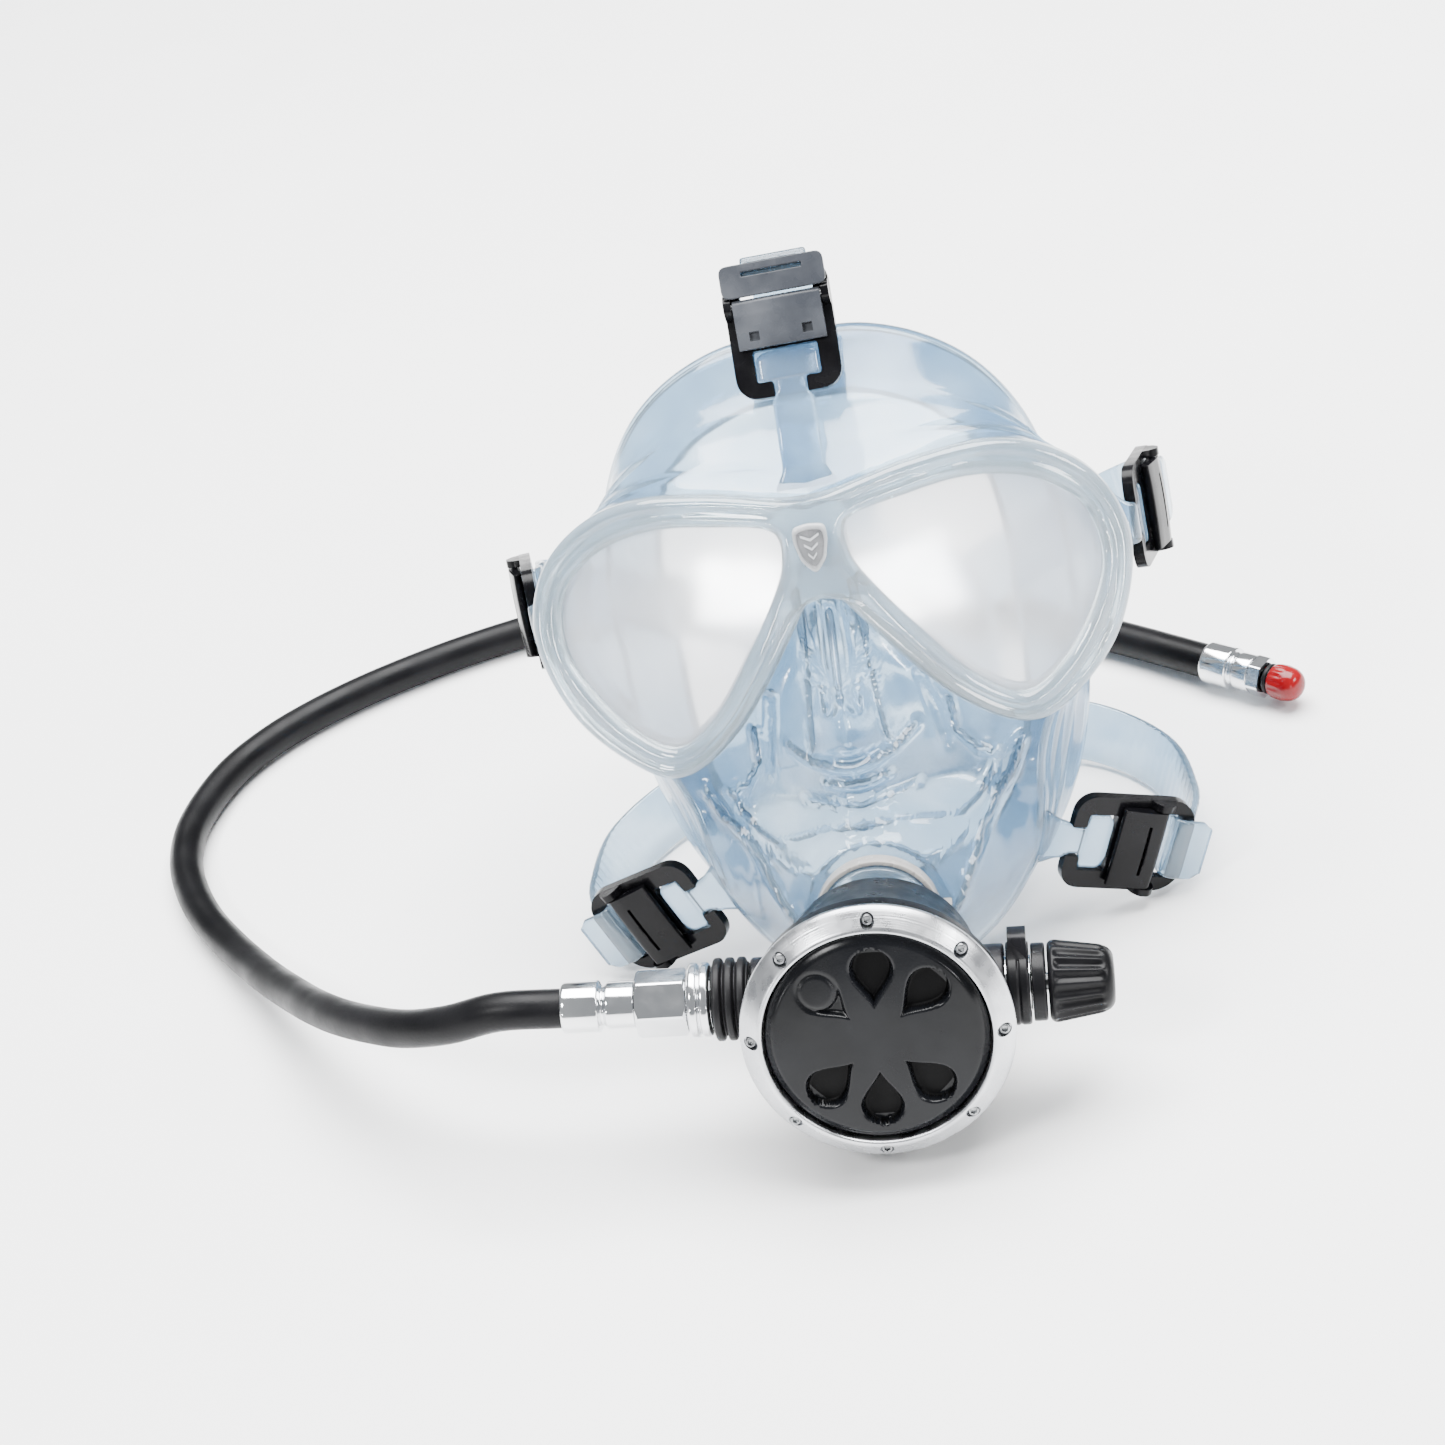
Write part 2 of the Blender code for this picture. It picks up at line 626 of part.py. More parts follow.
def strap_stations(frame, way, tail):
    """Strap from its free tail, around the end bar and on to the back pad."""
    side = frame.to_3x3() @ Vector((0, 1, 0))
    end = BUCKLE_LENGTH - 8.0
    slot = end - 6.0
    top = BUCKLE_THICK + 1.7
    low = -1.7
    fold = [(end + tail, top), (end - 1, top), (slot + 2.2, top), (slot + 0.7, top - 0.8), (slot, 2.9),
            (slot, 0.6), (slot + 0.7, low + 0.7), (slot + 2.2, low), (end - 1, low), (end + 2, low - 1.2)]
    stations = [(frame @ Vector((u, 0, w)), side, STRAP_WIDTH, STRAP_THICK) for u, w in fold]
    start = stations[-1][0]
    run = spline([tuple(stations[-2][0]), tuple(start)] + [point for point, lean in way], False, 3)[4:]
    target = Vector(way[-1][1])
    for index, point in enumerate(run):
        share = smooth_step((index + 1) / len(run))
        stations.append((point, side.lerp(target, share), STRAP_WIDTH, STRAP_THICK))
    return stations


def build_harness(parent):
    pad_y = 112.0
    outline = [(-24, -12), (24, -12), (36, -22), (40, -45), (38, -68), (28, -89.8), (-28, -89.8), (-38, -68),
               (-40, -45), (-36, -22)]
    mesh_data = bmesh.new()
    add_prism(mesh_data, outline, pad_y - 1.3, pad_y + 1.3)
    pad = finish_object("head_harness", mesh_data, silicone(), Matrix.Identity(4), parent)
    ways = {
        "top": [((0, 54, 80), (1, 0, 0)), ((0, 86, 50), (1, 0, 0)), ((0, 109, 10), (1, 0, 0)),
                ((0, pad_y, -16), (1, 0, 0))],
        "upper": [((92, 86, -4), (0, 0, 1)), ((82, 102, -10), (0, 0, 1)), ((60, pad_y, -20), (0.1, 0, 1)),
                  ((34, pad_y, -30), (0.3, 0, 1))],
        "lower": [((89, 60, -98), (0, 0, 1)), ((84, 84, -90), (0, 0, 1)), ((64, 104, -82), (0.05, 0, 1)),
                  ((33, pad_y, -76), (0.15, 0, 1))],
    }
    straps = bmesh.new()
    for name, head, along, normal, roots in buckle_frames():
        frame = buckle_matrix(head, along, normal)
        way = ways[name.split("_")[0]]
        if name.endswith("left"):
            way = [((-x, y, z), (-a, b, c)) for (x, y, z), (a, b, c) in way]
        side = frame.to_3x3() @ Vector((0, 1, 0))
        if side.dot(Vector(way[0][1])) < 0:
            way = [(point, tuple(-c for c in lean)) for point, lean in way]
        tail = 0.0 if name == "top" else TAIL_LENGTH
        add_ribbon(straps, strap_stations(frame, way, tail))
    combine(pad, finish_object("tool_straps", straps, None, Matrix.Identity(4), parent), "UNION")


# ---- demand regulator: built in its own frame, mouth tube axis along Y, front toward -Y ----

def build_case(parent):
    depth = CASE_DEPTH
    back = CASE_BACK_RADIUS
    front = CASE_FRONT_RADIUS
    wall = 2.4
    profile = [(0, 0), (back - 1.5, 0), (back, -2), (front, -depth + 9), (RING_RADIUS - 1.5, -depth + 5.5),
               (RING_RADIUS - 1.5, -depth), (front - 0.6, -depth), (front - wall, -depth + 8),
               (back - wall, -4), (back - wall - 2, -wall), (0, -wall)]
    mesh_data = bmesh.new()
    add_lathe(mesh_data, profile, "Y", 36, centre=(0, 0, CASE_DROP))
    case = finish_object("regulator_case", mesh_data, black_plastic(), Matrix.Identity(4), parent)
    bosses = bmesh.new()
    for side in (-1, 1):
        low, high = sorted((side * 25.0, side * 34.5))
        add_lathe(bosses, [(0, low), (11.0, low), (11.0, high), (0, high)], "X", 28,
                  centre=(0, VALVE_Y, VALVE_Z))
    add_lathe(bosses, [(0, -1.2), (13.1, -1.2), (13.1, 15.0), (0, 15.0)], "Y", 40)
    combine(case, finish_object("tool_bosses", bosses, None, Matrix.Identity(4), parent), "UNION")
    cuts = bmesh.new()
    add_lathe(cuts, [(0, -40), (VALVE_RADIUS + GAP, -40), (VALVE_RADIUS + GAP, 40), (0, 40)], "X", 28,
              centre=(0, VALVE_Y, VALVE_Z))
    add_lathe(cuts, [(0, -5), (11.0, -5), (11.0, 18), (0, 18)], "Y", 32)
    add_lathe(cuts, [(0, -5), (6.8, -5), (6.8, 3), (0, 3)], "Y", 20, centre=(0, 0, CASE_DROP - EXHAUST_DROP))
    combine(case, finish_object("tool_case_cuts", cuts, None, Matrix.Identity(4), parent), "DIFFERENCE")


def build_case_ring(parent):
    y = -CASE_DEPTH - 1.9
    profile = [(RING_BORE, y), (RING_RADIUS - 0.6, y), (RING_RADIUS, y - 0.6), (RING_RADIUS, y - 1.8),
               (RING_RADIUS - 1.2, y - 2.8), (RING_BORE + 0.8, y - 6.6), (RING_BORE, y - 6.2)]
    frame = shifted(0, 0, CASE_DROP)
    satin = material("satin_ring", (0.70, 0.71, 0.72), 0.3, 1.0)
    ring = lathe_object("case_ring", profile, "Y", 48, satin, frame, parent, closed=True)
    holes = bmesh.new()
    for x, z in screw_spots():
        add_lathe(holes, [(0, y - 9), (2.4, y - 9), (2.4, y - 2.0), (0, y - 2.0)], "Y", 8, centre=(x, 0, z))
    combine(ring, finish_object("tool_screw_holes", holes, None, frame, parent), "DIFFERENCE")


def screw_spots():
    radius = (RING_RADIUS + RING_BORE) / 2
    spots = []
    for index in range(8):
        turn = math.radians(45.0 * index)
        spots.append((radius * math.cos(turn), radius * math.sin(turn)))
    return spots


def build_screws(parent):
    y = -CASE_DEPTH - 1.9
    profile = [(0, y - 2.3), (2.1, y - 2.3), (2.1, y - 4.1), (1.6, y - 4.6), (0, y - 4.6)]
    for index, (x, z) in enumerate(screw_spots()):
        name = "ring_screw_" + str(index + 1)
        lathe_object(name, profile, "Y", 12, steel(), shifted(x, 0, CASE_DROP + z), parent)


def petal(angle):
    """Teardrop opening pointing at the centre."""
    shape = [(9.0, 0.0), (13.0, 2.4), (17.5, 4.6), (21.5, 5.2), (24.4, 3.6), (25.4, 0.0), (24.4, -3.6),
             (21.5, -5.2), (17.5, -4.6), (13.0, -2.4)]
    c = math.cos(angle)
    s = math.sin(angle)
    return [(r * c - t * s, r * s + t * c) for r, t in shape]


def build_purge_cover(parent):
    y = -CASE_DEPTH - 4.6
    edge = RING_BORE - 0.5
    profile = [(0, y), (edge, y), (edge, y - 2.0), (edge - 2.5, y - 3.0), (12, y - 3.8), (0, y - 4.2)]
    frame = shifted(0, 0, CASE_DROP)
    gloss = material("gloss_black", (0.015, 0.015, 0.017), 0.18)
    cover = lathe_object("purge_cover", profile, "Y", 48, gloss, frame, parent)
    holes = bmesh.new()
    for degrees in (44, 90, 136, 224, 270, 316):
        add_prism(holes, petal(math.radians(degrees)), y - 8, y + 3)
    combine(cover, finish_object("tool_petals", holes, None, frame, parent), "DIFFERENCE")


def build_diaphragm(parent):
    y = -CASE_DEPTH
    profile = [(0, y + 0.9), (17, y + 0.9), (19, y + 2.6), (23, y + 2.6), (27, y + 0.5), (29.2, y - GAP),
               (34.6, y - GAP), (34.6, y - 1.6), (28.6, y - 1.6), (26.4, y - 0.8), (22.6, y + 1.3),
               (19.4, y + 1.3), (17.4, y - 0.3), (0, y - 0.3)]
    rubber = material("diaphragm_rubber", (0.05, 0.05, 0.055), 0.5)
    lathe_object("diaphragm", profile, "Y", 28, rubber, shifted(0, 0, CASE_DROP), parent)
    plate = [(0, y + 2.2), (15, y + 2.2), (15, y + 1.2), (0, y + 1.2)]
    lathe_object("diaphragm_plate", plate, "Y", 24, steel(), shifted(0, 0, CASE_DROP), parent)


def build_demand_lever(parent):
    """Bent lever: hinged over the valve tube, its tip under the diaphragm plate."""
    spot = shifted(-6.0, VALVE_Y - VALVE_RADIUS - 2.0, VALVE_Z)
    mesh_data = bmesh.new()
    points = [((0, 0, -3.0), (1, 0, 0), 7.0, 1.2), ((0, 0, 0), (1, 0, 0), 7.0, 1.2),
              ((1.5, -0.9, 2.5), (1, 0, 0), 6.0, 1.2), ((3.5, -4.0, 8.0), (1, 0, 0), 5.0, 1.2),
              ((3.5, -3.6, 11.5), (1, 0, 0), 5.0, 1.2)]
    add_ribbon(mesh_data, points)
    finish_object("demand_lever", mesh_data, steel(), spot, parent)


def build_valve(parent):
    frame = shifted(0, VALVE_Y, VALVE_Z)
    tube = [(VALVE_BORE, -50), (VALVE_RADIUS, -50), (VALVE_RADIUS, 41.6), (10.6, 41.6), (10.6, 45.4),
            (VALVE_BORE, 45.4)]
    body = lathe_object("valve_tube", tube, "X", 28, chrome(), frame, parent, closed=True)
    window = bmesh.new()
    add_box(window, (-12, -12, -4), (2, -2, 4))
    combine(body, finish_object("tool_tube_window", window, None, frame, parent), "DIFFERENCE")
    orifice = [(1.6, -49), (5.2, -49), (5.2, -36), (2.6, -33), (1.6, -33)]
    lathe_object("inlet_orifice", orifice, "X", 20, chrome(), frame, parent, closed=True)
    poppet = [(0, -32.4), (2.6, -32.4), (3.2, -31.6), (3.2, -14), (1.6, -14), (1.6, 4), (4.6, 4), (4.6, 6.5),
              (0, 6.5)]
    brass = material("brass", (0.75, 0.58, 0.28), 0.3, 1.0)
    lathe_object("poppet", poppet, "X", 18, brass, frame, parent)
    plug = [(0, 26), (5.2, 26), (5.2, 33), (2.4, 33), (2.4, 57), (0, 57)]
    lathe_object("adjusting_screw", plug, "X", 18, steel(), frame, parent)


def build_poppet_spring(parent):
    """Compression spring between the poppet head and the adjusting screw."""
    turns = 6
    steps = 10
    wire = 0.55
    coil = 3.9
    start = 7.7 + wire
    length = 25.6 - wire - start
    mesh_data = bmesh.new()
    rings = []
    total = turns * steps
    for index in range(total + 1):
        turn = 2 * math.pi * index / steps
        x = start + length * index / total
        out = Vector((0, math.cos(turn), math.sin(turn)))
        centre = Vector((x, 0, 0)) + out * coil
        ring = []
        for corner in range(4):
            spin = math.pi * corner / 2
            ring.append(mesh_data.verts.new(centre + out * (wire * math.cos(spin))
                                            + Vector((wire * math.sin(spin), 0, 0))))
        rings.append(ring)
    for first, second in zip(rings, rings[1:]):
        for corner in range(4):
            after = (corner + 1) % 4
            mesh_data.faces.new((first[corner], first[after], second[after], second[corner]))
    mesh_data.faces.new(rings[0])
    mesh_data.faces.new(list(reversed(rings[-1])))
    finish_object("poppet_spring", mesh_data, steel(), shifted(0, VALVE_Y, VALVE_Z), parent)


def build_venturi_lever(parent):
    frame = shifted(0, VALVE_Y, VALVE_Z)
    collar = [(VALVE_RADIUS + 0.4, 35.0), (11.0, 35.0), (11.0, 41.0), (VALVE_RADIUS + 0.4, 41.0)]
    lever = lathe_object("venturi_lever", collar, "X", 28, black_plastic(), frame, parent, closed=True)
    wing = bmesh.new()
    foot = VALVE_RADIUS + 1.0
    add_prism(wing, [(-6.5, foot), (6.5, foot), (4.0, 15.5), (-2.5, 15.5)], 35.6, 40.6, "X")
    combine(lever, finish_object("tool_wing", wing, None, frame, parent), "UNION")


def build_knob(parent):
    """Ribbed, slightly conical knob."""
    start = 45.9
    stop = start + KNOB_LENGTH
    count = 18
    mesh_data = bmesh.new()
    rings = []
    for x, radius, rib in ((start, 10.2, 0.0), (start + 1.5, 11.2, 0.9), (stop - 3.5, 9.2, 0.7),
                           (stop - 1.2, 8.4, 0.0), (stop, 6.6, 0.0)):
        ring = []
        for step in range(count * 2):
            turn = math.pi * step / count
            r = radius - (rib if step % 2 else 0.0)
            ring.append(mesh_data.verts.new((x, r * math.cos(turn), r * math.sin(turn))))
        rings.append(ring)
    bore = []
    for x in (start + 12.0, start):
        turns = [math.pi * step / count for step in range(count * 2)]
        bore.append([mesh_data.verts.new((x, 2.7 * math.cos(turn), 2.7 * math.sin(turn))) for turn in turns])
    loops = rings
    for first, second in list(zip(loops, loops[1:])) + [(bore[0], bore[1]), (bore[1], rings[0])]:
        for step in range(count * 2):
            after = (step + 1) % (count * 2)
            mesh_data.faces.new((first[step], first[after], second[after], second[step]))
    mesh_data.faces.new(rings[-1])
    mesh_data.faces.new(list(reversed(bore[0])))
    finish_object("adjusting_knob", mesh_data, black_plastic(), shifted(0, VALVE_Y, VALVE_Z), parent)


def build_exhaust(parent):
    z = CASE_DROP - EXHAUST_DROP
    disc = [(0, GAP), (9.3, GAP), (9.3, 1.3), (3.0, 1.8), (2.0, 4.6), (0, 4.6)]
    lathe_object("exhaust_valve", disc, "Y", 20, silicone(), shifted(0, 0, z), parent)
    outer = [(-34, -12), (-27, -13.6), (27, -13.6), (34, -12), (29, -1), (12.5, 11.2), (-12.5, 11.2),
             (-29, -1)]
    inner = [(-40, -9.6), (-14, -11.2), (14, -11.2), (40, -9.6), (28, -5), (10.5, 9.6), (-10.5, 9.6),
             (-28, -5)]
    mesh_data = bmesh.new()
    add_prism(mesh_data, [(x, z + v) for x, v in outer], 0.4, 7.8)
    tee = finish_object("exhaust_tee", mesh_data, black_rubber(), Matrix.Identity(4), parent)
    hollow = bmesh.new()
    add_prism(hollow, [(x, z + v) for x, v in inner], -2.0, 5.9)
    combine(tee, finish_object("tool_tee_hollow", hollow, None, Matrix.Identity(4), parent), "DIFFERENCE")


def build_clamp(parent):
    band = [(PORT_RADIUS + 0.35, 2.4), (PORT_RADIUS + 1.7, 2.4), (PORT_RADIUS + 1.7, 7.4),
            (PORT_RADIUS + 0.35, 7.4)]
    clamp = lathe_object("mouth_clamp", band, "Y", 40, black_plastic(), Matrix.Identity(4), parent,
                         closed=True)
    lock = bmesh.new()
    add_box(lock, (PORT_RADIUS + 0.9, 1.9, -3), (PORT_RADIUS + 4.6, 7.9, 3))
    combine(clamp, finish_object("tool_clamp_lock", lock, None, Matrix.Identity(4), parent), "UNION")


def build_inlet(parent):
    frame = shifted(0, VALVE_Y, VALVE_Z)
    bore = VALVE_RADIUS + 0.35
    boot = [(bore, -45.2), (9.6, -45.2)]
    for index in range(3):
        x = -44.6 + index * 3.3
        boot += [(11.4, x), (11.4, x + 1.9), (10.0, x + 2.3), (10.0, x + 2.9)]
    boot += [(bore, -35.1)]
    lathe_object("inlet_boot", boot, "X", 18, black_rubber(), frame, parent, closed=True)
    low = VALVE_RADIUS + 1.9
    high = VALVE_RADIUS + 2.9
    collar = [(bore, -52.0), (low, -52.0), (high, -51.2), (high, -49.4), (low, -48.8), (high, -48.2),
              (high, -46.3), (low, -45.6), (bore, -45.6)]
    lathe_object("inlet_collar", collar, "X", 24, chrome(), frame, parent, closed=True)
    mesh_data = bmesh.new()
    hexagon = [(9.6 * math.cos(math.pi * k / 3), 9.6 * math.sin(math.pi * k / 3)) for k in range(6)]
    add_prism(mesh_data, hexagon, -66.4, -52.4, "X")
    finish_object("hose_nut", mesh_data, chrome(), frame, parent)
    fitting = [(0, -66.8), (6.6, -66.8), (6.6, -74.6), (5.6, -75.4), (5.6, -76.2), (7.2, -76.9), (7.2, -86.4),
               (6.8, -87.2), (0, -87.2)]
    lathe_object("hose_end_fitting", fitting, "X", 22, chrome(), frame, parent)


# ---- free hose ----

def hose_points(exit_point, exit_way):
    """Even points along the smooth route, leaving the fitting square to its face."""
    step = HOSE_DIAMETER * HOSE_STEP
    leave = exit_point + exit_way * step
    dense = spline([tuple(exit_point), tuple(leave)] + HOSE_ROUTE, False, 40)[40:]
    points = [exit_point, dense[0]]
    travelled = 0.0
    for first, second in zip(dense, dense[1:]):
        travelled += (second - first).length
        if travelled >= step:
            points.append(second)
            travelled = 0.0
    if (points[-1] - dense[-1]).length < step * 0.5:
        points.pop()
    points.append(dense[-1])
    return points


def build_hose(exit_point, exit_way):
    points = hose_points(exit_point, exit_way)
    curve = bpy.data.curves.new("supply_hose", "CURVE")
    curve.dimensions = "3D"
    line = curve.splines.new("POLY")
    line.points.add(len(points) - 1)
    for knot, point in zip(line.points, points):
        knot.co = (point[0] * 0.001, point[1] * 0.001, point[2] * 0.001, 1.0)
    curve.bevel_depth = HOSE_DIAMETER / 2000.0
    curve.bevel_resolution = 2
    curve.use_fill_caps = True
    hose = bpy.data.objects.new("supply_hose", curve)
    bpy.context.scene.collection.objects.link(hose)
    curve.materials.append(material("hose_rubber", (0.02, 0.02, 0.021), 0.55))
    return points[-1], (points[-1] - points[-2]).normalized()


def build_far_end(tip, way):
    turn = way.to_track_quat("X", "Z").to_matrix().to_4x4()
    frame = Matrix.Translation(tip) @ turn
    fitting = [(0, GAP), (6.4, GAP), (6.8, 0.9), (6.8, 10.0), (5.4, 10.6), (5.4, 12.0), (6.2, 12.6),
               (6.2, 18.0), (0, 18.0)]
    lathe_object("far_end_fitting", fitting, "X", 22, chrome(), frame, None)
    mesh_data = bmesh.new()
    hexagon = [(6.7 * math.cos(math.pi * k / 3), 6.7 * math.sin(math.pi * k / 3)) for k in range(6)]
    add_prism(mesh_data, hexagon, 18.3, 22.5, "X")
    stem = [(0, 22.0), (3.5, 22.0), (3.5, 31.0), (2.9, 31.6), (0, 31.6)]
    far_nut = finish_object("far_end_plug", mesh_data, chrome(), frame, None)
    shaft = bmesh.new()
    add_lathe(shaft, stem, "X", 20)
    combine(far_nut, finish_object("tool_plug_stem", shaft, None, frame, None), "UNION")
    seal = [(3.8, 23.0), (4.9, 23.0), (4.9, 24.4), (3.8, 24.4)]
    lathe_object("far_end_o_ring", seal, "X", 16, black_rubber(), frame, None, closed=True)
    red = material("red_plastic", (0.62, 0.02, 0.015), 0.25)
    cap = [(0, 33.0), (3.9, 33.0), (3.9, 24.9), (5.2, 24.9), (5.6, 27.0), (5.6, 30.6), (4.6, 33.2),
           (2.6, 34.7), (0, 35.2)]
    lathe_object("dust_cap", cap, "X", 20, red, frame, None)


def regulator_matrix():
    place = Matrix.Translation(Vector((0, REG_Y, REG_Z)))
    tilt = Matrix.Rotation(math.radians(REG_TILT), 4, "X")
    return place @ tilt @ Matrix.Rotation(math.radians(REG_SWIVEL), 4, "Y")


def empty(name, matrix, parent):
    made = bpy.data.objects.new(name, None)
    bpy.context.scene.collection.objects.link(made)
    made.parent = parent
    local = matrix.copy()
    local.translation = local.translation * 0.001
    made.matrix_local = local
    return made


def main():
    for old in list(bpy.data.objects):
        bpy.data.objects.remove(old)
    lean = Matrix.Translation(Vector((0, STANCE_Y, STANCE_Z))) @ Matrix.Rotation(math.radians(-LEAN), 4, "X")
    stance = empty("stance", lean, None)
    reg_frame = regulator_matrix()
    regulator = empty("regulator_axis", reg_frame, stance)
    build_bezel(stance)
    build_lens_frame(stance)
    build_lens("lens_right", 1, stance)
    build_lens("lens_left", -1, stance)
    build_badge(stance)
    build_skirt(stance, reg_frame)
    for name, head, along, normal, roots in buckle_frames():
        frame = buckle_matrix(head, along, normal)
        body = build_buckle(name, frame, stance)
        if name == "top":
            add_cover(body, frame, stance)
        build_lever(name, frame, stance)
        build_pin(name, frame, stance)
    build_harness(stance)
    for build in (build_case, build_case_ring, build_screws, build_purge_cover, build_diaphragm,
                  build_demand_lever, build_valve, build_poppet_spring, build_venturi_lever, build_knob,
                  build_exhaust, build_clamp, build_inlet):
        build(regulator)
    exit_point = lean @ reg_frame @ Vector((-87.2 - GAP, VALVE_Y, VALVE_Z))
    exit_way = (lean @ reg_frame).to_3x3() @ Vector((-1, 0, 0))
    tip, way = build_hose(exit_point, exit_way)
    build_far_end(tip, way)


main()
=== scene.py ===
"""Looks of the full-face diving mask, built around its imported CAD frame."""
import math

import bmesh
import bpy
from mathutils import Matrix, Vector


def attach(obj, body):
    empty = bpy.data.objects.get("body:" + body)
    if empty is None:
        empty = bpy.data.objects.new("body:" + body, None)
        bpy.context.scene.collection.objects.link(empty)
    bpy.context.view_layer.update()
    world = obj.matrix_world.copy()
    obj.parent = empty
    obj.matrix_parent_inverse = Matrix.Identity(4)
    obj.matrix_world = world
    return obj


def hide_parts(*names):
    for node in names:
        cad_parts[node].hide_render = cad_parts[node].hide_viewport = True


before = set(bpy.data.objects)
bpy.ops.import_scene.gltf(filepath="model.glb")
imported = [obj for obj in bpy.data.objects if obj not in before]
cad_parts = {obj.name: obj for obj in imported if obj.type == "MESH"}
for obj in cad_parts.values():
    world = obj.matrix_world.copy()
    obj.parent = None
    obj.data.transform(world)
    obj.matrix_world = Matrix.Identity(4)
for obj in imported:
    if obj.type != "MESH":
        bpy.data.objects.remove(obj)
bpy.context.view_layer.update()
MM = 0.001

# ---- dimensions shared with the CAD model, in millimetres and degrees ----
FRAME_EDGE = [(0, 27.5), (8, 28.5), (28, 32), (50, 33), (66, 28), (79, 17), (85.4, 2), (84.6, -13),
              (78, -29), (67, -41), (55, -48), (44, -46), (31, -36), (20, -23), (10.5, -9.5), (5, -1.8),
              (0, 0)]
LENS_EDGE = [(11, 20), (27, 23), (45, 24), (62, 19.5), (74, 9), (77, -6), (72, -20), (62, -33),
             (50, -39.5), (37, -31), (24, -14), (14, 1), (9.5, 11)]
SKIRT_EDGE = [(0, 25.5), (8, 27), (28, 30.5), (50, 31.5), (65, 26.5), (77, 16), (83.4, 2), (82.6, -13),
              (76, -28), (65.5, -40), (57, -50), (52, -62), (49.5, -76), (45, -91), (33, -104),
              (17, -112), (0, -115)]
RIM_EDGE = [(0, 66), (20, 65), (38, 58), (52, 46), (62, 28), (67, 5), (68, -20), (67, -45), (62, -68),
            (53, -86), (42, -98), (26, -106.5), (11, -111), (0, -112)]
RIM_DEPTH = [(-112, 32), (-94, 42), (-60, 52), (-20, 56), (27, 52), (66, 46)]
HOSE_ROUTE = [(-132, -62, 43), (-163, -35, 30), (-190, 1, 16), (-209, 29, 8.5), (-224, 52, 6.2),
              (-235, 77, 5.8), (-238, 100, 5.8), (-233, 122, 5.8), (-221, 143, 5.8), (-198, 162, 5.8),
              (-168, 177, 5.8), (-134, 188, 5.8), (-100, 193, 5.8), (-64, 191, 5.8), (-27, 183, 5.8),
              (10, 168.5, 5.8), (43, 149.5, 6), (74, 126, 6.6), (103, 101.5, 7.4)]
SKIRT_CENTRE = (0.0, -25.0)
LENS_CENTRE = (44.0, -4.0)
LENS_SLOPE = 0.27
BADGE_Z = 14.5
BRIDGE_BLEND = 5.0
SKIRT_FRONT = 6.9
SKIRT_WALL = 2.6
RIM_FLANGE = 19.0
FRONT_STEPS = 64
WALL_STEPS = 21
NOSE_DEPTH = 17.0
NOSE_TOP = -3.0
NOSE_LENGTH = 46.0
MOUTH_HALF_WIDTH = 47.0
MOUTH_UP = 38.0
MOUTH_DOWN = 36.0
PORT_RADIUS = 16.0
PORT_BORE = 13.4
PORT_CENTRE_Z = -89.4
PORT_STANDOFF = 8.5
REG_TILT = 5.0
REG_SWIVEL = 6.0
REG_Y = -21.0
REG_Z = -90.0
CASE_DROP = -12.0
CASE_DEPTH = 39.0
RING_RADIUS = 37.0
RING_BORE = 30.6
VALVE_Y = -22.0
VALVE_Z = -10.0
VALVE_RADIUS = 7.5
EXHAUST_DROP = 17.2
BUCKLE_LENGTH = 38.0
BUCKLE_WIDTH = 30.0
BUCKLE_THICK = 3.2
BUCKLE_END = BUCKLE_LENGTH - 8.0
HEAD_WIDTH = 17.6
NECK_WIDTH = 8.6
TAIL_LENGTH = 5.0
COVER_HEIGHT = 6.4
STRAP_WIDTH = 19.0
STRAP_THICK = 2.0
PAD_Y = 112.0
HOSE_DIAMETER = 11.0
STANCE = Matrix.Translation((0, 0.1, 123.25)) @ Matrix.Rotation(math.radians(-20), 4, "X")
REGULATOR = (STANCE @ Matrix.Translation((0, REG_Y, REG_Z)) @ Matrix.Rotation(math.radians(REG_TILT), 4, "X")
             @ Matrix.Rotation(math.radians(REG_SWIVEL), 4, "Y"))
VALVE = REGULATOR @ Matrix.Translation((0, VALVE_Y, VALVE_Z))
CASE = REGULATOR @ Matrix.Translation((0, 0, CASE_DROP))


# ---- finishes ----

SLOTS = {"buckle_plastic": "black_plastic", "painted_sheen_plastic": "grey_plastic", "port_band": "black_plastic",
         "scoop_painted_shade": "gloss_black"}


def noise(tree, vector, scale, detail=3.0, stretch=None):
    """Noise over the object's own coordinates; stretch gives it a direction."""
    if stretch:
        mapping = tree.nodes.new("ShaderNodeMapping")
        mapping.inputs["Scale"].default_value = stretch
        tree.links.new(vector, mapping.inputs["Vector"])
        vector = mapping.outputs["Vector"]
    made = tree.nodes.new("ShaderNodeTexNoise")
    made.inputs["Scale"].default_value = scale
    made.inputs["Detail"].default_value = detail
    tree.links.new(vector, made.inputs["Vector"])
    return made.outputs["Fac"]


def spread(tree, value, low, high, start=0.35, stop=0.65):
    """Stretch the middle of a noise over a range."""
    made = tree.nodes.new("ShaderNodeMapRange")
    made.inputs["From Min"].default_value = start
    made.inputs["From Max"].default_value = stop
    made.inputs["To Min"].default_value = low
    made.inputs["To Max"].default_value = high
    tree.links.new(value, made.inputs["Value"])
    return made.outputs["Result"]


def blend_colours(tree, factor, low, high):
    made = tree.nodes.new("ShaderNodeMix")
    made.data_type = "RGBA"
    for socket, value in (("A", low), ("B", high)):
        target = next(s for s in made.inputs if s.name == socket and s.type == "RGBA")
        if isinstance(value, bpy.types.NodeSocket):
            tree.links.new(value, target)
        else:
            target.default_value = (*value, 1.0)
    tree.links.new(factor, made.inputs["Factor"])
    return next(s for s in made.outputs if s.type == "RGBA")


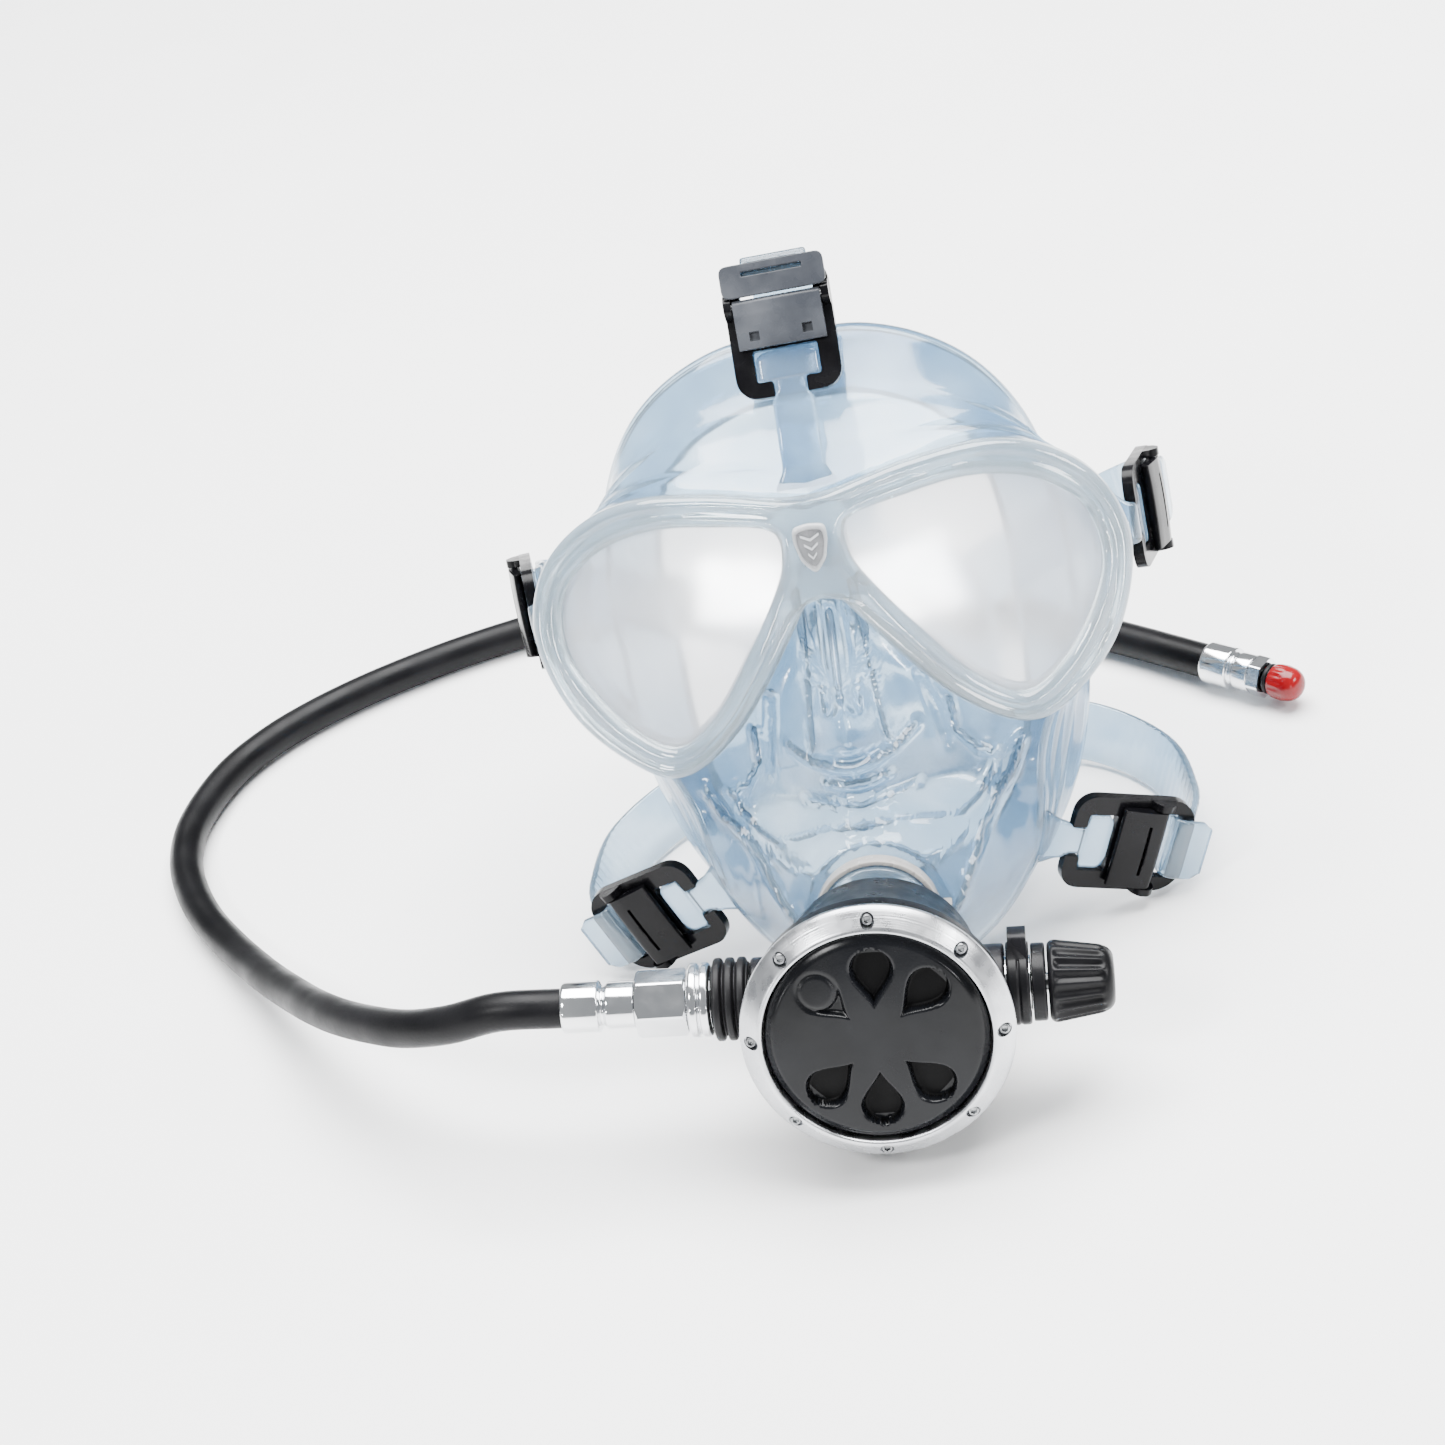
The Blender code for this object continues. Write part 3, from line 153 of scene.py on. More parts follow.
def relief(tree, height, distance, strength, below=None):
    made = tree.nodes.new("ShaderNodeBump")
    made.inputs["Strength"].default_value = strength
    made.inputs["Distance"].default_value = distance
    tree.links.new(height, made.inputs["Height"])
    if below:
        tree.links.new(below, made.inputs["Normal"])
    return made.outputs["Normal"]


def finish(name, low, high, rough, patch=40.0, grain=700.0, depth=0.0001, wear=None, turned=None,
           stretch=None, wave=0.0, **fixed):
    """Mottled colour from low to high, uneven gloss and fine relief on one Principled shader.

    patch and grain are the scales of the mottle and the relief, depth and wave are reliefs in metres.
    """
    made = bpy.data.materials.new("look_" + name)
    made["slot"] = SLOTS.get(name, name)
    made.use_nodes = True
    tree = made.node_tree
    shader = tree.nodes["Principled BSDF"]
    spots = tree.nodes.new("ShaderNodeTexCoord").outputs["Object"]
    mottle = noise(tree, spots, patch)
    colour = blend_colours(tree, spread(tree, mottle, 0.0, 1.0), low, high)
    if wear:
        edge = tree.nodes.new("ShaderNodeNewGeometry").outputs["Pointiness"]
        colour = blend_colours(tree, spread(tree, edge, 0.0, 1.0, 0.52, 0.60), colour, wear)
    tree.links.new(colour, shader.inputs["Base Color"])
    fine = noise(tree, spots, grain, 4.0, stretch)
    smudge = noise(tree, spots, patch * 3.1, 5.0)
    tree.links.new(spread(tree, smudge, rough[0], rough[1]), shader.inputs["Roughness"])
    normal = relief(tree, fine, depth, 0.5)
    if turned:
        axis = tree.nodes.new("ShaderNodeSeparateXYZ")
        tree.links.new(spots, axis.inputs["Vector"])
        across = tree.nodes.new("ShaderNodeCombineXYZ")
        for letter in turned:
            tree.links.new(axis.outputs[letter], across.inputs[letter])
        reach = tree.nodes.new("ShaderNodeVectorMath")
        reach.operation = "LENGTH"
        tree.links.new(across.outputs["Vector"], reach.inputs[0])
        lines = tree.nodes.new("ShaderNodeTexNoise")
        lines.noise_dimensions = "1D"
        lines.inputs["Scale"].default_value = 2600.0
        tree.links.new(reach.outputs["Value"], lines.inputs["W"])
        normal = relief(tree, lines.outputs["Fac"], 0.00006, 0.55, normal)
    if wave:
        broad = noise(tree, spots, 55.0, 2.0)
        normal = relief(tree, broad, wave, 0.5, normal)
    tree.links.new(normal, shader.inputs["Normal"])
    for key, value in fixed.items():
        shader.inputs[key.replace("_", " ")].default_value = value
    return made


SILICONE = finish("clear_silicone", (0.27, 0.42, 0.57), (0.50, 0.64, 0.76), (0.08, 0.18), 32.0, 900.0,
                  0.00004, wave=0.0006, Transmission_Weight=0.86, IOR=1.36, Coat_Weight=0.5,
                  Coat_Roughness=0.08)
MILKY = finish("frosted_polycarbonate", (0.72, 0.83, 0.89), (0.86, 0.92, 0.95), (0.05, 0.12), 26.0, 800.0,
               0.00002, wave=0.0002, Transmission_Weight=0.86, IOR=1.45, Coat_Weight=0.8,
               Coat_Roughness=0.04)
CLEAR = finish("clear_polycarbonate", (0.74, 0.84, 0.89), (0.86, 0.92, 0.95), (0.07, 0.16), 30.0, 800.0,
               0.00002, wave=0.0003, Transmission_Weight=0.8, IOR=1.42)
GLASS = finish("tempered_glass", (0.90, 0.93, 0.97), (0.95, 0.96, 0.99), (0.10, 0.20), 18.0, 500.0, 0.000005,
               Transmission_Weight=0.62, IOR=1.45, Coat_Weight=1.0, Coat_Roughness=0.06)
BAND = finish("port_band", (0.42, 0.40, 0.38), (0.55, 0.53, 0.50), (0.22, 0.36), 40.0, 1200.0, 0.00003,
              Transmission_Weight=0.3, IOR=1.4, Coat_Weight=0.3, Coat_Roughness=0.12)
BLACK = finish("black_plastic", (0.002, 0.002, 0.0025), (0.005, 0.005, 0.006), (0.26, 0.40), 45.0, 1500.0,
               0.00004, wear=(0.010, 0.010, 0.012), Specular_IOR_Level=0.14)
BUCKLE = finish("buckle_plastic", (0.0015, 0.0015, 0.002), (0.004, 0.004, 0.005), (0.16, 0.28), 60.0, 1500.0,
                0.00003, Specular_IOR_Level=0.14)
# dark grey on black plastic: a painted reflection of the bright sky, used for the top buckle's cover and
# lever
PAINTED_SHEEN_GREY = finish("painted_sheen_plastic", (0.030, 0.033, 0.040), (0.065, 0.070, 0.080), (0.22, 0.36), 60.0, 1400.0,
               0.00003, Specular_IOR_Level=0.22)
GREY = finish("grey_plastic", (0.16, 0.165, 0.175), (0.24, 0.245, 0.255), (0.22, 0.36), 90.0, 1500.0,
              0.00003, wear=(0.52, 0.54, 0.56), Coat_Weight=0.2, Coat_Roughness=0.15)
GLOSS = finish("gloss_black", (0.002, 0.0023, 0.003), (0.005, 0.0055, 0.007), (0.14, 0.28), 38.0, 1800.0,
               0.00002, Specular_IOR_Level=0.20)
# blacker, rougher and less specular than the gloss black: painted shade for the recessed petals of the purge
# cover
PAINTED_SHADE_SCOOP = finish("scoop_painted_shade", (0.0005, 0.0005, 0.0006), (0.0012, 0.0012, 0.0014), (0.4, 0.55), 38.0, 1800.0,
               0.00002, Specular_IOR_Level=0.08)
SATIN = finish("satin_ring", (0.46, 0.47, 0.49), (0.60, 0.61, 0.63), (0.22, 0.34), 60.0, 1500.0, 0.00002,
               turned="XZ", Metallic=1.0)
CHROME = finish("chromed_brass", (0.72, 0.73, 0.75), (0.86, 0.87, 0.88), (0.05, 0.15), 70.0, 1500.0, 0.00001,
                stretch=(6.0, 1.0, 1.0), Metallic=1.0)
STEEL = finish("stainless_steel", (0.20, 0.205, 0.21), (0.34, 0.35, 0.36), (0.22, 0.38), 120.0, 2500.0,
               0.00002, Metallic=1.0)
BRASS = finish("brass", (0.66, 0.47, 0.20), (0.78, 0.60, 0.30), (0.22, 0.38), 90.0, 2000.0, 0.00002,
               Metallic=1.0)
RUBBER = finish("black_rubber", (0.003, 0.003, 0.0035), (0.007, 0.007, 0.008), (0.40, 0.55), 50.0, 2200.0,
                0.00008, Specular_IOR_Level=0.18)
DISC = finish("diaphragm_rubber", (0.02, 0.02, 0.023), (0.04, 0.04, 0.045), (0.45, 0.6), 50.0, 2200.0,
              0.00006)
HOSE = finish("hose_rubber", (0.002, 0.002, 0.0025), (0.006, 0.006, 0.007), (0.30, 0.46), 26.0, 1600.0,
              0.00010, Specular_IOR_Level=0.12)
RED = finish("red_plastic", (0.14, 0.0004, 0.002), (0.20, 0.001, 0.004), (0.14, 0.26), 90.0, 1500.0, 0.00003,
             Specular_IOR_Level=0.35)


# ---- mesh helpers ----

def smooth_step(value):
    t = min(1.0, max(0.0, value))
    return t * t * (3.0 - 2.0 * t)


def spline(points, closed, per_span):
    count = len(points)
    result = []
    for index in range(count if closed else count - 1):
        if closed:
            ids = [(index + k) % count for k in (-1, 0, 1, 2)]
        else:
            ids = [min(count - 1, max(0, index + k)) for k in (-1, 0, 1, 2)]
        p0, p1, p2, p3 = [Vector(points[i]) for i in ids]
        for step in range(per_span):
            t = step / per_span
            value = 2 * p1 + (p2 - p0) * t
            value += (2 * p0 - 5 * p1 + 4 * p2 - p3) * t * t
            value += (3 * p1 - p0 - 3 * p2 + p3) * t ** 3
            result.append(value * 0.5)
    if not closed:
        result.append(Vector(points[-1]))
    return result


def fillet(points, radius, closed=False, steps=4):
    """Round the corners of an outline."""
    result = []
    count = len(points)
    for index, point in enumerate(points):
        here = Vector(point)
        if not closed and index in (0, count - 1):
            result.append(here)
            continue
        before = Vector(points[index - 1]) - here
        after = Vector(points[(index + 1) % count]) - here
        start = here + before.normalized() * min(radius, before.length * 0.48)
        stop = here + after.normalized() * min(radius, after.length * 0.48)
        for step in range(steps + 1):
            t = step / steps
            result.append(start * (1 - t) ** 2 + here * 2 * t * (1 - t) + stop * t * t)
    return result


def ray_point(loop, centre, angle):
    """Farthest crossing of a ray from centre with a closed outline."""
    dx = math.cos(angle)
    dz = math.sin(angle)
    best = 0.0
    for first, second in zip(loop, loop[1:] + loop[:1]):
        ax = first[0] - centre[0]
        az = first[1] - centre[1]
        ex = second[0] - first[0]
        ez = second[1] - first[1]
        cross = dx * ez - dz * ex
        if abs(cross) < 1e-9:
            continue
        along = (ax * ez - az * ex) / cross
        share = (ax * dz - az * dx) / cross
        if -1e-6 <= share <= 1.0 + 1e-6 and along > best:
            best = along
    return Vector((centre[0] + dx * best, centre[1] + dz * best))


def interpolate(table, value):
    if value <= table[0][0]:
        return table[0][1]
    for (x0, y0), (x1, y1) in zip(table, table[1:]):
        if value <= x1:
            return y0 + (y1 - y0) * smooth_step((value - x0) / (x1 - x0))
    return table[-1][1]


def in_metres(place):
    made = place.copy()
    made.translation = made.translation * MM
    return made


def solid(name, data, place, surface=None, angle=40.0):
    """Mesh object from millimetre data; only a turned finish needs the piece's own axes."""
    bmesh.ops.recalc_face_normals(data, faces=data.faces)
    mesh = bpy.data.meshes.new(name)
    data.to_mesh(mesh)
    data.free()
    mesh.transform(Matrix.Scale(MM, 4))
    if surface:
        mesh.materials.append(surface)
    mesh.shade_smooth()
    mesh.set_sharp_from_angle(angle=math.radians(angle))
    made = bpy.data.objects.new(name, mesh)
    bpy.context.scene.collection.objects.link(made)
    if surface == SATIN:
        made.matrix_world = in_metres(place)
        bpy.context.view_layer.update()
    else:
        mesh.transform(in_metres(place))
    return made


def settle(made, angle=40.0):
    """Apply the modifiers of a new piece."""
    graph = bpy.context.evaluated_depsgraph_get()
    mesh = bpy.data.meshes.new_from_object(made.evaluated_get(graph))
    made.modifiers.clear()
    made.data = mesh
    mesh.shade_smooth()
    mesh.set_sharp_from_angle(angle=math.radians(angle))
    return made


def drawn(build, *shape, **extra):
    """Fresh mesh data with one shape drawn in it by lathe, prism or another builder."""
    data = bmesh.new()
    build(data, *shape, **extra)
    return data


def combine(made, data, place, operation, angle=40.0):
    """Join, cut or intersect a piece with a tool shape, and apply the result."""
    tool = solid("tool", data, place)
    step = made.modifiers.new("combine", "BOOLEAN")
    step.operation = operation
    step.solver = "EXACT"
    step.object = tool
    settle(made, angle)
    bpy.data.objects.remove(tool)
    return made


def soften(made, width, segments=2, limit=32.0):
    """Rounded edges, width in millimetres."""
    step = made.modifiers.new("soften", "BEVEL")
    step.width = width * MM
    step.segments = segments
    step.limit_method = "ANGLE"
    step.angle_limit = math.radians(limit)
    step.harden_normals = True
    step.use_clamp_overlap = True
    made.data.shade_smooth()
    return made


def place_piece(made, body, nodes=()):
    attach(made, body)
    if nodes:
        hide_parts(*nodes)
    return made


def lathe(data, profile, axis, segments=96, closed=False, swell=None, centre=(0, 0, 0)):
    """Turn (radius, height) pairs about an axis; swell(turn, radius, height) changes a radius."""
    rings = []
    for radius, height in profile:
        ring = []
        for step in range(1 if radius < 1e-6 else segments):
            turn = 2 * math.pi * step / segments
            reach = swell(turn, radius, height) if swell else radius
            a = reach * math.cos(turn)
            b = reach * math.sin(turn)
            spot = {"X": (height, a, b), "Y": (b, height, a), "Z": (a, b, height)}[axis]
            ring.append(data.verts.new(Vector(spot) + Vector(centre)))
        rings.append(ring)
    pairs = list(zip(rings, rings[1:]))
    if closed:
        pairs.append((rings[-1], rings[0]))
    for first, second in pairs:
        for step in range(segments):
            after = (step + 1) % segments
            if len(first) == 1:
                data.faces.new((first[0], second[step], second[after]))
            elif len(second) == 1:
                data.faces.new((first[step], second[0], first[after]))
            else:
                data.faces.new((first[step], second[step], second[after], first[after]))


def prism(data, outline, low, high, axis="Y"):
    """Outline pushed along an axis from one level to another."""
    spots = {"X": lambda a, b, level: (level, a, b),
             "Y": lambda a, b, level: (a, level, b),
             "Z": lambda a, b, level: (a, b, level)}
    near = [data.verts.new(spots[axis](*point, low)) for point in outline]
    far = [data.verts.new(spots[axis](*point, high)) for point in outline]
    data.faces.new(near)
    data.faces.new(list(reversed(far)))
    for index in range(len(outline)):
        after = (index + 1) % len(outline)
        data.faces.new((near[index], near[after], far[after], far[index]))


def hexagon(radius, corner):
    points = [(radius * math.cos(math.pi * k / 3), radius * math.sin(math.pi * k / 3)) for k in range(6)]
    return fillet(points, corner, True)


def box_outline(low, high):
    return [(low[0], low[1]), (high[0], low[1]), (high[0], high[1]), (low[0], high[1])]


def turned(name, profile, axis, surface, place, radius=0.4, closed=False, segments=96, swell=None):
    """Lathe piece with rounded corners, radius in millimetres."""
    data = drawn(lathe, fillet(profile, radius, closed), axis, segments, closed=closed, swell=swell)
    return solid(name, data, place, surface, 50.0)


def skin(data, rings, cap=True):
    """Faces over matched rings of vertices."""
    count = len(rings[0])
    for first, second in zip(rings, rings[1:]):
        for index in range(count):
            after = (index + 1) % count
            data.faces.new((first[index], first[after], second[after], second[index]))
    if cap:
        data.faces.new(rings[0])
        data.faces.new(list(reversed(rings[-1])))


# ---- camera, light and floor ----

def build_camera():
    azimuth = math.radians(9.84)
    elevation = math.radians(34.7)
    roll = math.radians(15.04)
    target = Vector((-36.5, 0.0, 86.3)) * MM
    distance = 0.9
    back = Vector((math.sin(azimuth) * math.cos(elevation), -math.cos(azimuth) * math.cos(elevation),
                   math.sin(elevation)))
    right = (-back).cross(Vector((0, 0, 1))).normalized()
    up = right.cross(-back)
    turned_right = right * math.cos(roll) - up * math.sin(roll)
    turned_up = right * math.sin(roll) + up * math.cos(roll)
    camera = bpy.data.objects.new("camera", bpy.data.cameras.new("camera"))
    bpy.context.scene.collection.objects.link(camera)
    pose = Matrix((turned_right, turned_up, back)).transposed().to_4x4()
    pose.translation = target + back * distance
    camera.matrix_world = pose
    camera.data.lens = 78.7
    camera.data.sensor_width = 36.0
    camera.data.clip_start = 0.05
    bpy.context.scene.camera = camera


def build_light(name, spot, target, width, watts):
    data = bpy.data.lights.new(name, "AREA")
    data.shape = "RECTANGLE"
    data.size = width
    data.size_y = width * 0.7
    data.energy = watts
    lamp = bpy.data.objects.new(name, data)
    bpy.context.scene.collection.objects.link(lamp)
    lamp.location = spot
    lamp.rotation_euler = (Vector(target) - Vector(spot)).to_track_quat("-Z", "Y").to_euler()


def build_stage():
    data = bmesh.new()
    bmesh.ops.create_grid(data, x_segments=24, y_segments=24, size=3000)
    pale = finish("floor_paper", (0.90, 0.90, 0.90), (0.93, 0.93, 0.93), (0.7, 0.85), 6.0, 400.0, 0.00002)
    floor = solid("floor", data, Matrix.Identity(4), pale)
    world = bpy.data.worlds.new("studio")
    world.use_nodes = True
    sky = world.node_tree.nodes["Background"]
    sky.inputs["Color"].default_value = (0.94, 0.97, 1.0, 1.0)
    sky.inputs["Strength"].default_value = 0.5
    bpy.context.scene.world = world
    centre = (0.0, 0.0, 0.1)
    build_light("overhead", (0.1, 0.5, 1.9), (0.0, 0.2, 0.0), 2.2, 225.0)
    build_light("key", (-0.65, -0.75, 1.1), centre, 0.35, 16.0)
    build_light("side", (1.0, -0.35, 0.7), centre, 0.4, 9.0)
    build_light("card_right", (0.36, -0.72, 0.19), (0.044, 0.0, 0.12), 0.055, 0.8)
    build_light("card_left", (-0.49, -0.62, 0.17), (-0.044, 0.0, 0.12), 0.045, 0.7)


# ---- free hose ----

def hose_points(exit_point, exit_way):
    step = HOSE_DIAMETER * 1.6
    leave = exit_point + exit_way * step
    dense = spline([tuple(exit_point), tuple(leave)] + HOSE_ROUTE, False, 40)[40:]
    points = [exit_point, dense[0]]
    travelled = 0.0
    for first, second in zip(dense, dense[1:]):
        travelled += (second - first).length
        if travelled >= step:
            points.append(second)
            travelled = 0.0
    if (points[-1] - dense[-1]).length < step * 0.5:
        points.pop()
    points.append(dense[-1])
    return points


def build_hose(exit_point, exit_way):
    points = hose_points(exit_point, exit_way)
    curve = bpy.data.curves.new("hose", "CURVE")
    curve.dimensions = "3D"
    line = curve.splines.new("BEZIER")
    line.bezier_points.add(len(points) - 1)
    for index, (knot, point) in enumerate(zip(line.bezier_points, points)):
        before = points[max(0, index - 1)]
        after = points[min(len(points) - 1, index + 1)]
        way = (after - before).normalized()
        knot.co = point * MM
        knot.handle_left = (point - way * (point - before).length / 3) * MM
        knot.handle_right = (point + way * (after - point).length / 3) * MM
    line.resolution_u = 6
    curve.bevel_depth = HOSE_DIAMETER / 2 * MM
    curve.bevel_resolution = 12
    curve.use_fill_caps = True
    hose = bpy.data.objects.new("hose", curve)
    bpy.context.scene.collection.objects.link(hose)
    curve.materials.append(HOSE)
    place_piece(hose, "mask", ("supply_hose",))
    length = sum((b - a).length for a, b in zip(points, points[1:])) * MM
    return hose, points, length


def build_far_end(tip, way):
    turn = way.to_track_quat("X", "Z").to_matrix().to_4x4()
    place = Matrix.Translation(tip) @ turn
    profile = [(0, 0.3), (6.4, 0.3), (6.8, 0.9), (6.8, 10.0), (5.4, 10.6), (5.4, 12.0), (6.2, 12.6),
               (6.2, 18.0), (0, 18.0)]
    fitting = place_piece(turned("end_ferrule", profile, "X", CHROME, place), "mask", ("far_end_fitting",))
    stem = [(0, 17.9), (5.6, 17.9), (5.6, 18.5), (5.6, 22.3), (3.5, 22.6), (3.5, 31.0), (2.9, 31.6),
            (0, 31.6)]
    plug = solid("end_plug", drawn(lathe, fillet(stem, 0.2), "X", 64), place, CHROME)
    combine(plug, drawn(prism, hexagon(6.7, 0.8), 18.3, 22.5, "X"), place, "UNION")
    place_piece(soften(plug, 0.25), "mask", ("far_end_plug",))
    seal = [(3.8, 23.0), (4.9, 23.0), (4.9, 24.4), (3.8, 24.4)]
    ring = turned("end_o_ring", seal, "X", RUBBER, place, 0.6, True)
    place_piece(ring, "mask", ("far_end_o_ring",))
    profile = [(0, 33.0), (3.9, 33.0), (3.9, 24.9), (5.2, 24.9), (5.5, 27.0), (5.6, 30.0), (5.1, 32.4),
               (3.8, 34.2), (2.0, 35.1), (0, 35.3)]

    def ribs(turn, radius, height):
        return radius + (0.12 * math.cos(16 * turn) if 25.5 < height < 29.5 else 0.0)
    cap = turned("end_cap", profile, "X", RED, place, 1.2, swell=ribs)
    place_piece(cap, "cap", ("dust_cap",))
    return [fitting, plug, ring, cap]


# ---- lens assembly ----

def wrap(x):
    reach = abs(x)
    if reach < 2 * BRIDGE_BLEND:
        return LENS_SLOPE * reach * reach / (4 * BRIDGE_BLEND)
    return LENS_SLOPE * (reach - BRIDGE_BLEND)


def lens_stations(count=180):
    """Matched frame edge and lens edge points of the right half; the bridge join is marked."""
    outer = spline(FRAME_EDGE, False, 10)
    inner = spline(LENS_EDGE, True, 12)
    corners = []
    for point in (outer[0], outer[-1]):
        corners.append(math.atan2(point[1] - LENS_CENTRE[1], point[0] - LENS_CENTRE[0]) % (2 * math.pi))
    angles = [2 * math.pi * index / count for index in range(count)]
    angles = [a for a in angles if min(abs(a - c) for c in corners) > math.pi / count]
    stations = []
    for angle in sorted(angles + corners):
        edge = ray_point(outer, LENS_CENTRE, angle)
        seam = corners[0] - 1e-6 <= angle <= corners[1] + 1e-6
        if seam:
            edge[0] = 0.0
        stations.append((edge, ray_point(inner, LENS_CENTRE, angle), seam))
    return stations


def rim_piece(name, section, surface, nodes):
    """Both lens surrounds in one piece; section rows are base edge, offset, depth, depth at the bridge."""
    data = bmesh.new()
    for side in (1, -1):
        rings = []
        for edge, lens, seam in lens_stations():
            outward = (edge - lens).normalized()
            ease = smooth_step(edge[0] / 7.0)
            ring = []
            for base, offset, depth, bridge in section:
                if base == "edge":
                    point = edge + outward * offset * ease
                    level = bridge + (depth - bridge) * ease
                else:
                    point = lens + outward * offset
                    level = depth
                ring.append(data.verts.new((side * point[0], level + wrap(point[0]), point[1])))
            rings.append((ring, seam))
        for (first, seam_a), (second, seam_b) in zip(rings, rings[1:] + rings[:1]):
            for corner in range(len(section)):
                after = (corner + 1) % len(section)
                if seam_a and seam_b and section[corner][0] == "edge" and section[after][0] == "edge":
                    continue
                quad = (first[corner], first[after], second[after], second[corner])
                data.faces.new(quad if side > 0 else tuple(reversed(quad)))
    bmesh.ops.remove_doubles(data, verts=data.verts, dist=0.01)
    loose = [vert for vert in data.verts if not vert.link_faces]
    bmesh.ops.delete(data, geom=loose, context="VERTS")
    return place_piece(solid(name, data, STANCE, surface, 50.0), "mask", nodes)


def build_frame():
    front = [("edge", 0.0, -0.3, -0.3), ("edge", 0.15, -1.2, -2.0), ("edge", 0.05, -2.2, -3.2),
             ("edge", -0.5, -3.1, -3.8), ("edge", -1.4, -3.75, -3.9), ("edge", -2.5, -3.9, -3.9),
             ("edge", -3.3, -3.55, -3.9), ("edge", -3.8, -3.1, -3.9), ("edge", -4.4, -3.1, -3.9),
             ("lens", 4.4, -3.55, 0), ("lens", 3.2, -3.95, 0), ("lens", 2.2, -3.8, 0),
             ("lens", 1.2, -3.2, 0), ("lens", 0.45, -2.4, 0), ("lens", 0.1, -1.5, 0), ("lens", 0.0, -0.3, 0)]
    rim_piece("bezel", front, MILKY, ("front_bezel",))
    rear = [("edge", -1.0, 0.05, 0.05), ("edge", -0.6, 0.5, 0.5), ("edge", -0.6, 2.2, 2.2),
            ("edge", -1.2, 2.6, 2.6), ("edge", -1.2, 3.2, 3.2), ("edge", -0.6, 3.6, 3.6),
            ("edge", -0.6, 5.4, 5.4), ("edge", -1.1, 6.0, 6.0), ("lens", 0.4, 6.0, 0), ("lens", 0.0, 5.6, 0),
            ("lens", 0.0, 4.4, 0), ("lens", 2.0, 4.3, 0), ("lens", 2.0, 0.05, 0)]
    rim_piece("lens_carrier", rear, CLEAR, ("lens_frame",))


def build_lens(name, side, node):
    data = bmesh.new()
    rows = ((0.9, 0.0), (1.5, 0.5), (1.5, 3.5), (0.9, 4.0))
    rings = []
    for offset, depth in rows:
        ring = []
        for edge, lens, seam in lens_stations():
            point = lens + (edge - lens).normalized() * offset
            level = LENS_SLOPE * (point[0] - BRIDGE_BLEND) + depth
            ring.append(data.verts.new((side * point[0], level, point[1])))
        rings.append(ring)
    skin(data, rings)
    return place_piece(solid(name, data, STANCE, GLASS, 30.0), "mask", (node,))


def build_badge():
    """Keystone badge on the bridge with a raised border and plain chevrons."""
    outline = [(-4.6, 6.4), (0, 7.2), (4.6, 6.4), (4.9, 2.5), (3.4, -3.5), (0, -7.2), (-3.4, -3.5),
               (-4.9, 2.5)]
    outline = [tuple(p) for p in fillet(outline, 1.6, True, 5)]
    data = bmesh.new()
    rings = []
    for scale, level in ((1.0, -4.2), (1.0, -5.4), (0.94, -5.9), (0.80, -5.9), (0.74, -5.3), (0.5, -5.35),
                         (0.2, -5.4)):
        rings.append([data.verts.new((x * scale, level, BADGE_Z + z * scale)) for x, z in outline])
    skin(data, rings)
    badge = solid("badge", data, STANCE, GREY, 50.0)
    for level, half in ((2.4, 2.6), (-0.2, 1.9), (-2.8, 1.2)):
        bar = [(-half, level + 1.2), (0, level - 0.2), (half, level + 1.2), (half, level + 1.9),
               (0, level + 0.6), (-half, level + 1.9)]
        mark = drawn(prism, [(x, z + BADGE_Z) for x, z in bar], -5.75, -5.1)
        combine(badge, mark, STANCE, "UNION", 50.0)
    return place_piece(badge, "mask", ("bridge_badge",))


# ---- silicone skirt ----

def mirrored(lines):
    """Each crease and its mirror image."""
    return lines + [([(-x, z) for x, z in line], height, width) for line, height, width in lines]


# rows: points of the line (x, z), height, width; then pads (x, z, half sizes) and rings round the port
CREASES = mirrored([
    ([(46, -56), (41, -65), (33, -74), (22, -92)], 1.5, 1.3),
    ([(8.0, 2), (9.2, -19), (11.2, -42)], 1.0, 0.9),
    ([(4.4, -4), (4.9, -18), (4.3, -31)], -0.8, 0.9),
    ([(31, -72), (23.5, -75.5), (17, -75)], 0.7, 0.9),
    ([(28.5, -38), (29, -48), (34, -55), (39, -57)], 0.9, 1.0),
    ([(22, -30), (24, -40), (25.5, -51)], -0.8, 1.2),
    ([(56, -54), (51, -66), (48, -80)], 0.7, 1.1),
]) + [
    ([(-18, -42.5), (-11.7, -46.2), (0, -47.8), (11.7, -46.2), (18, -42.5)], 1.5, 1.4),
    ([(-9.5, -53.2), (0, -53.8), (9.5, -53.2)], 1.1, 1.0),
    ([(-16.5, -59), (0, -60), (16.5, -59)], 1.1, 1.1),
    ([(-37, -62), (-33, -67), (-27, -69), (-10, -64), (10, -64), (27, -69), (33, -67), (37, -62)], 1.4, 1.3),
    ([(0, -6), (0, -28)], 0.9, 1.9),
]
PADS = [(46.5, -66, 4.6, 6.2), (41.0, -84, 3.4, 8.0), (-46.5, -66, 4.6, 6.2), (-41.0, -84, 3.4, 8.0)]
PORT_BEADS = [(20.6, 0.9, 1.0), (25.0, 0.7, 1.1)]


def crease_height(x, z):
    """How far moulded lines and pads stand proud of the skirt at this spot."""
    height = 0.0
    for line, rise, width in CREASES:
        nearest = 1e9
        for (ax, az), (bx, bz) in zip(line, line[1:]):
            ex = bx - ax
            ez = bz - az
            t = min(1.0, max(0.0, ((x - ax) * ex + (z - az) * ez) / (ex * ex + ez * ez)))
            nearest = min(nearest, math.hypot(x - ax - ex * t, z - az - ez * t))
        if nearest < 4 * width:
            height += 2.0 * rise * math.exp(-(nearest / width) ** 2)
    for cx, cz, half_x, half_z in PADS:
        inside = min(half_x - abs(x - cx), half_z - abs(z - cz))
        height += 0.7 * smooth_step((inside + 0.6) / 1.4)
    reach = math.hypot(x, z - PORT_CENTRE_Z)
    for radius, rise, width in PORT_BEADS:
        height += rise * math.exp(-((reach - radius) / width) ** 2)
    height += 1.2 * math.exp(-(x * x + (z + 40.5) ** 2) / 5.0)
    return height


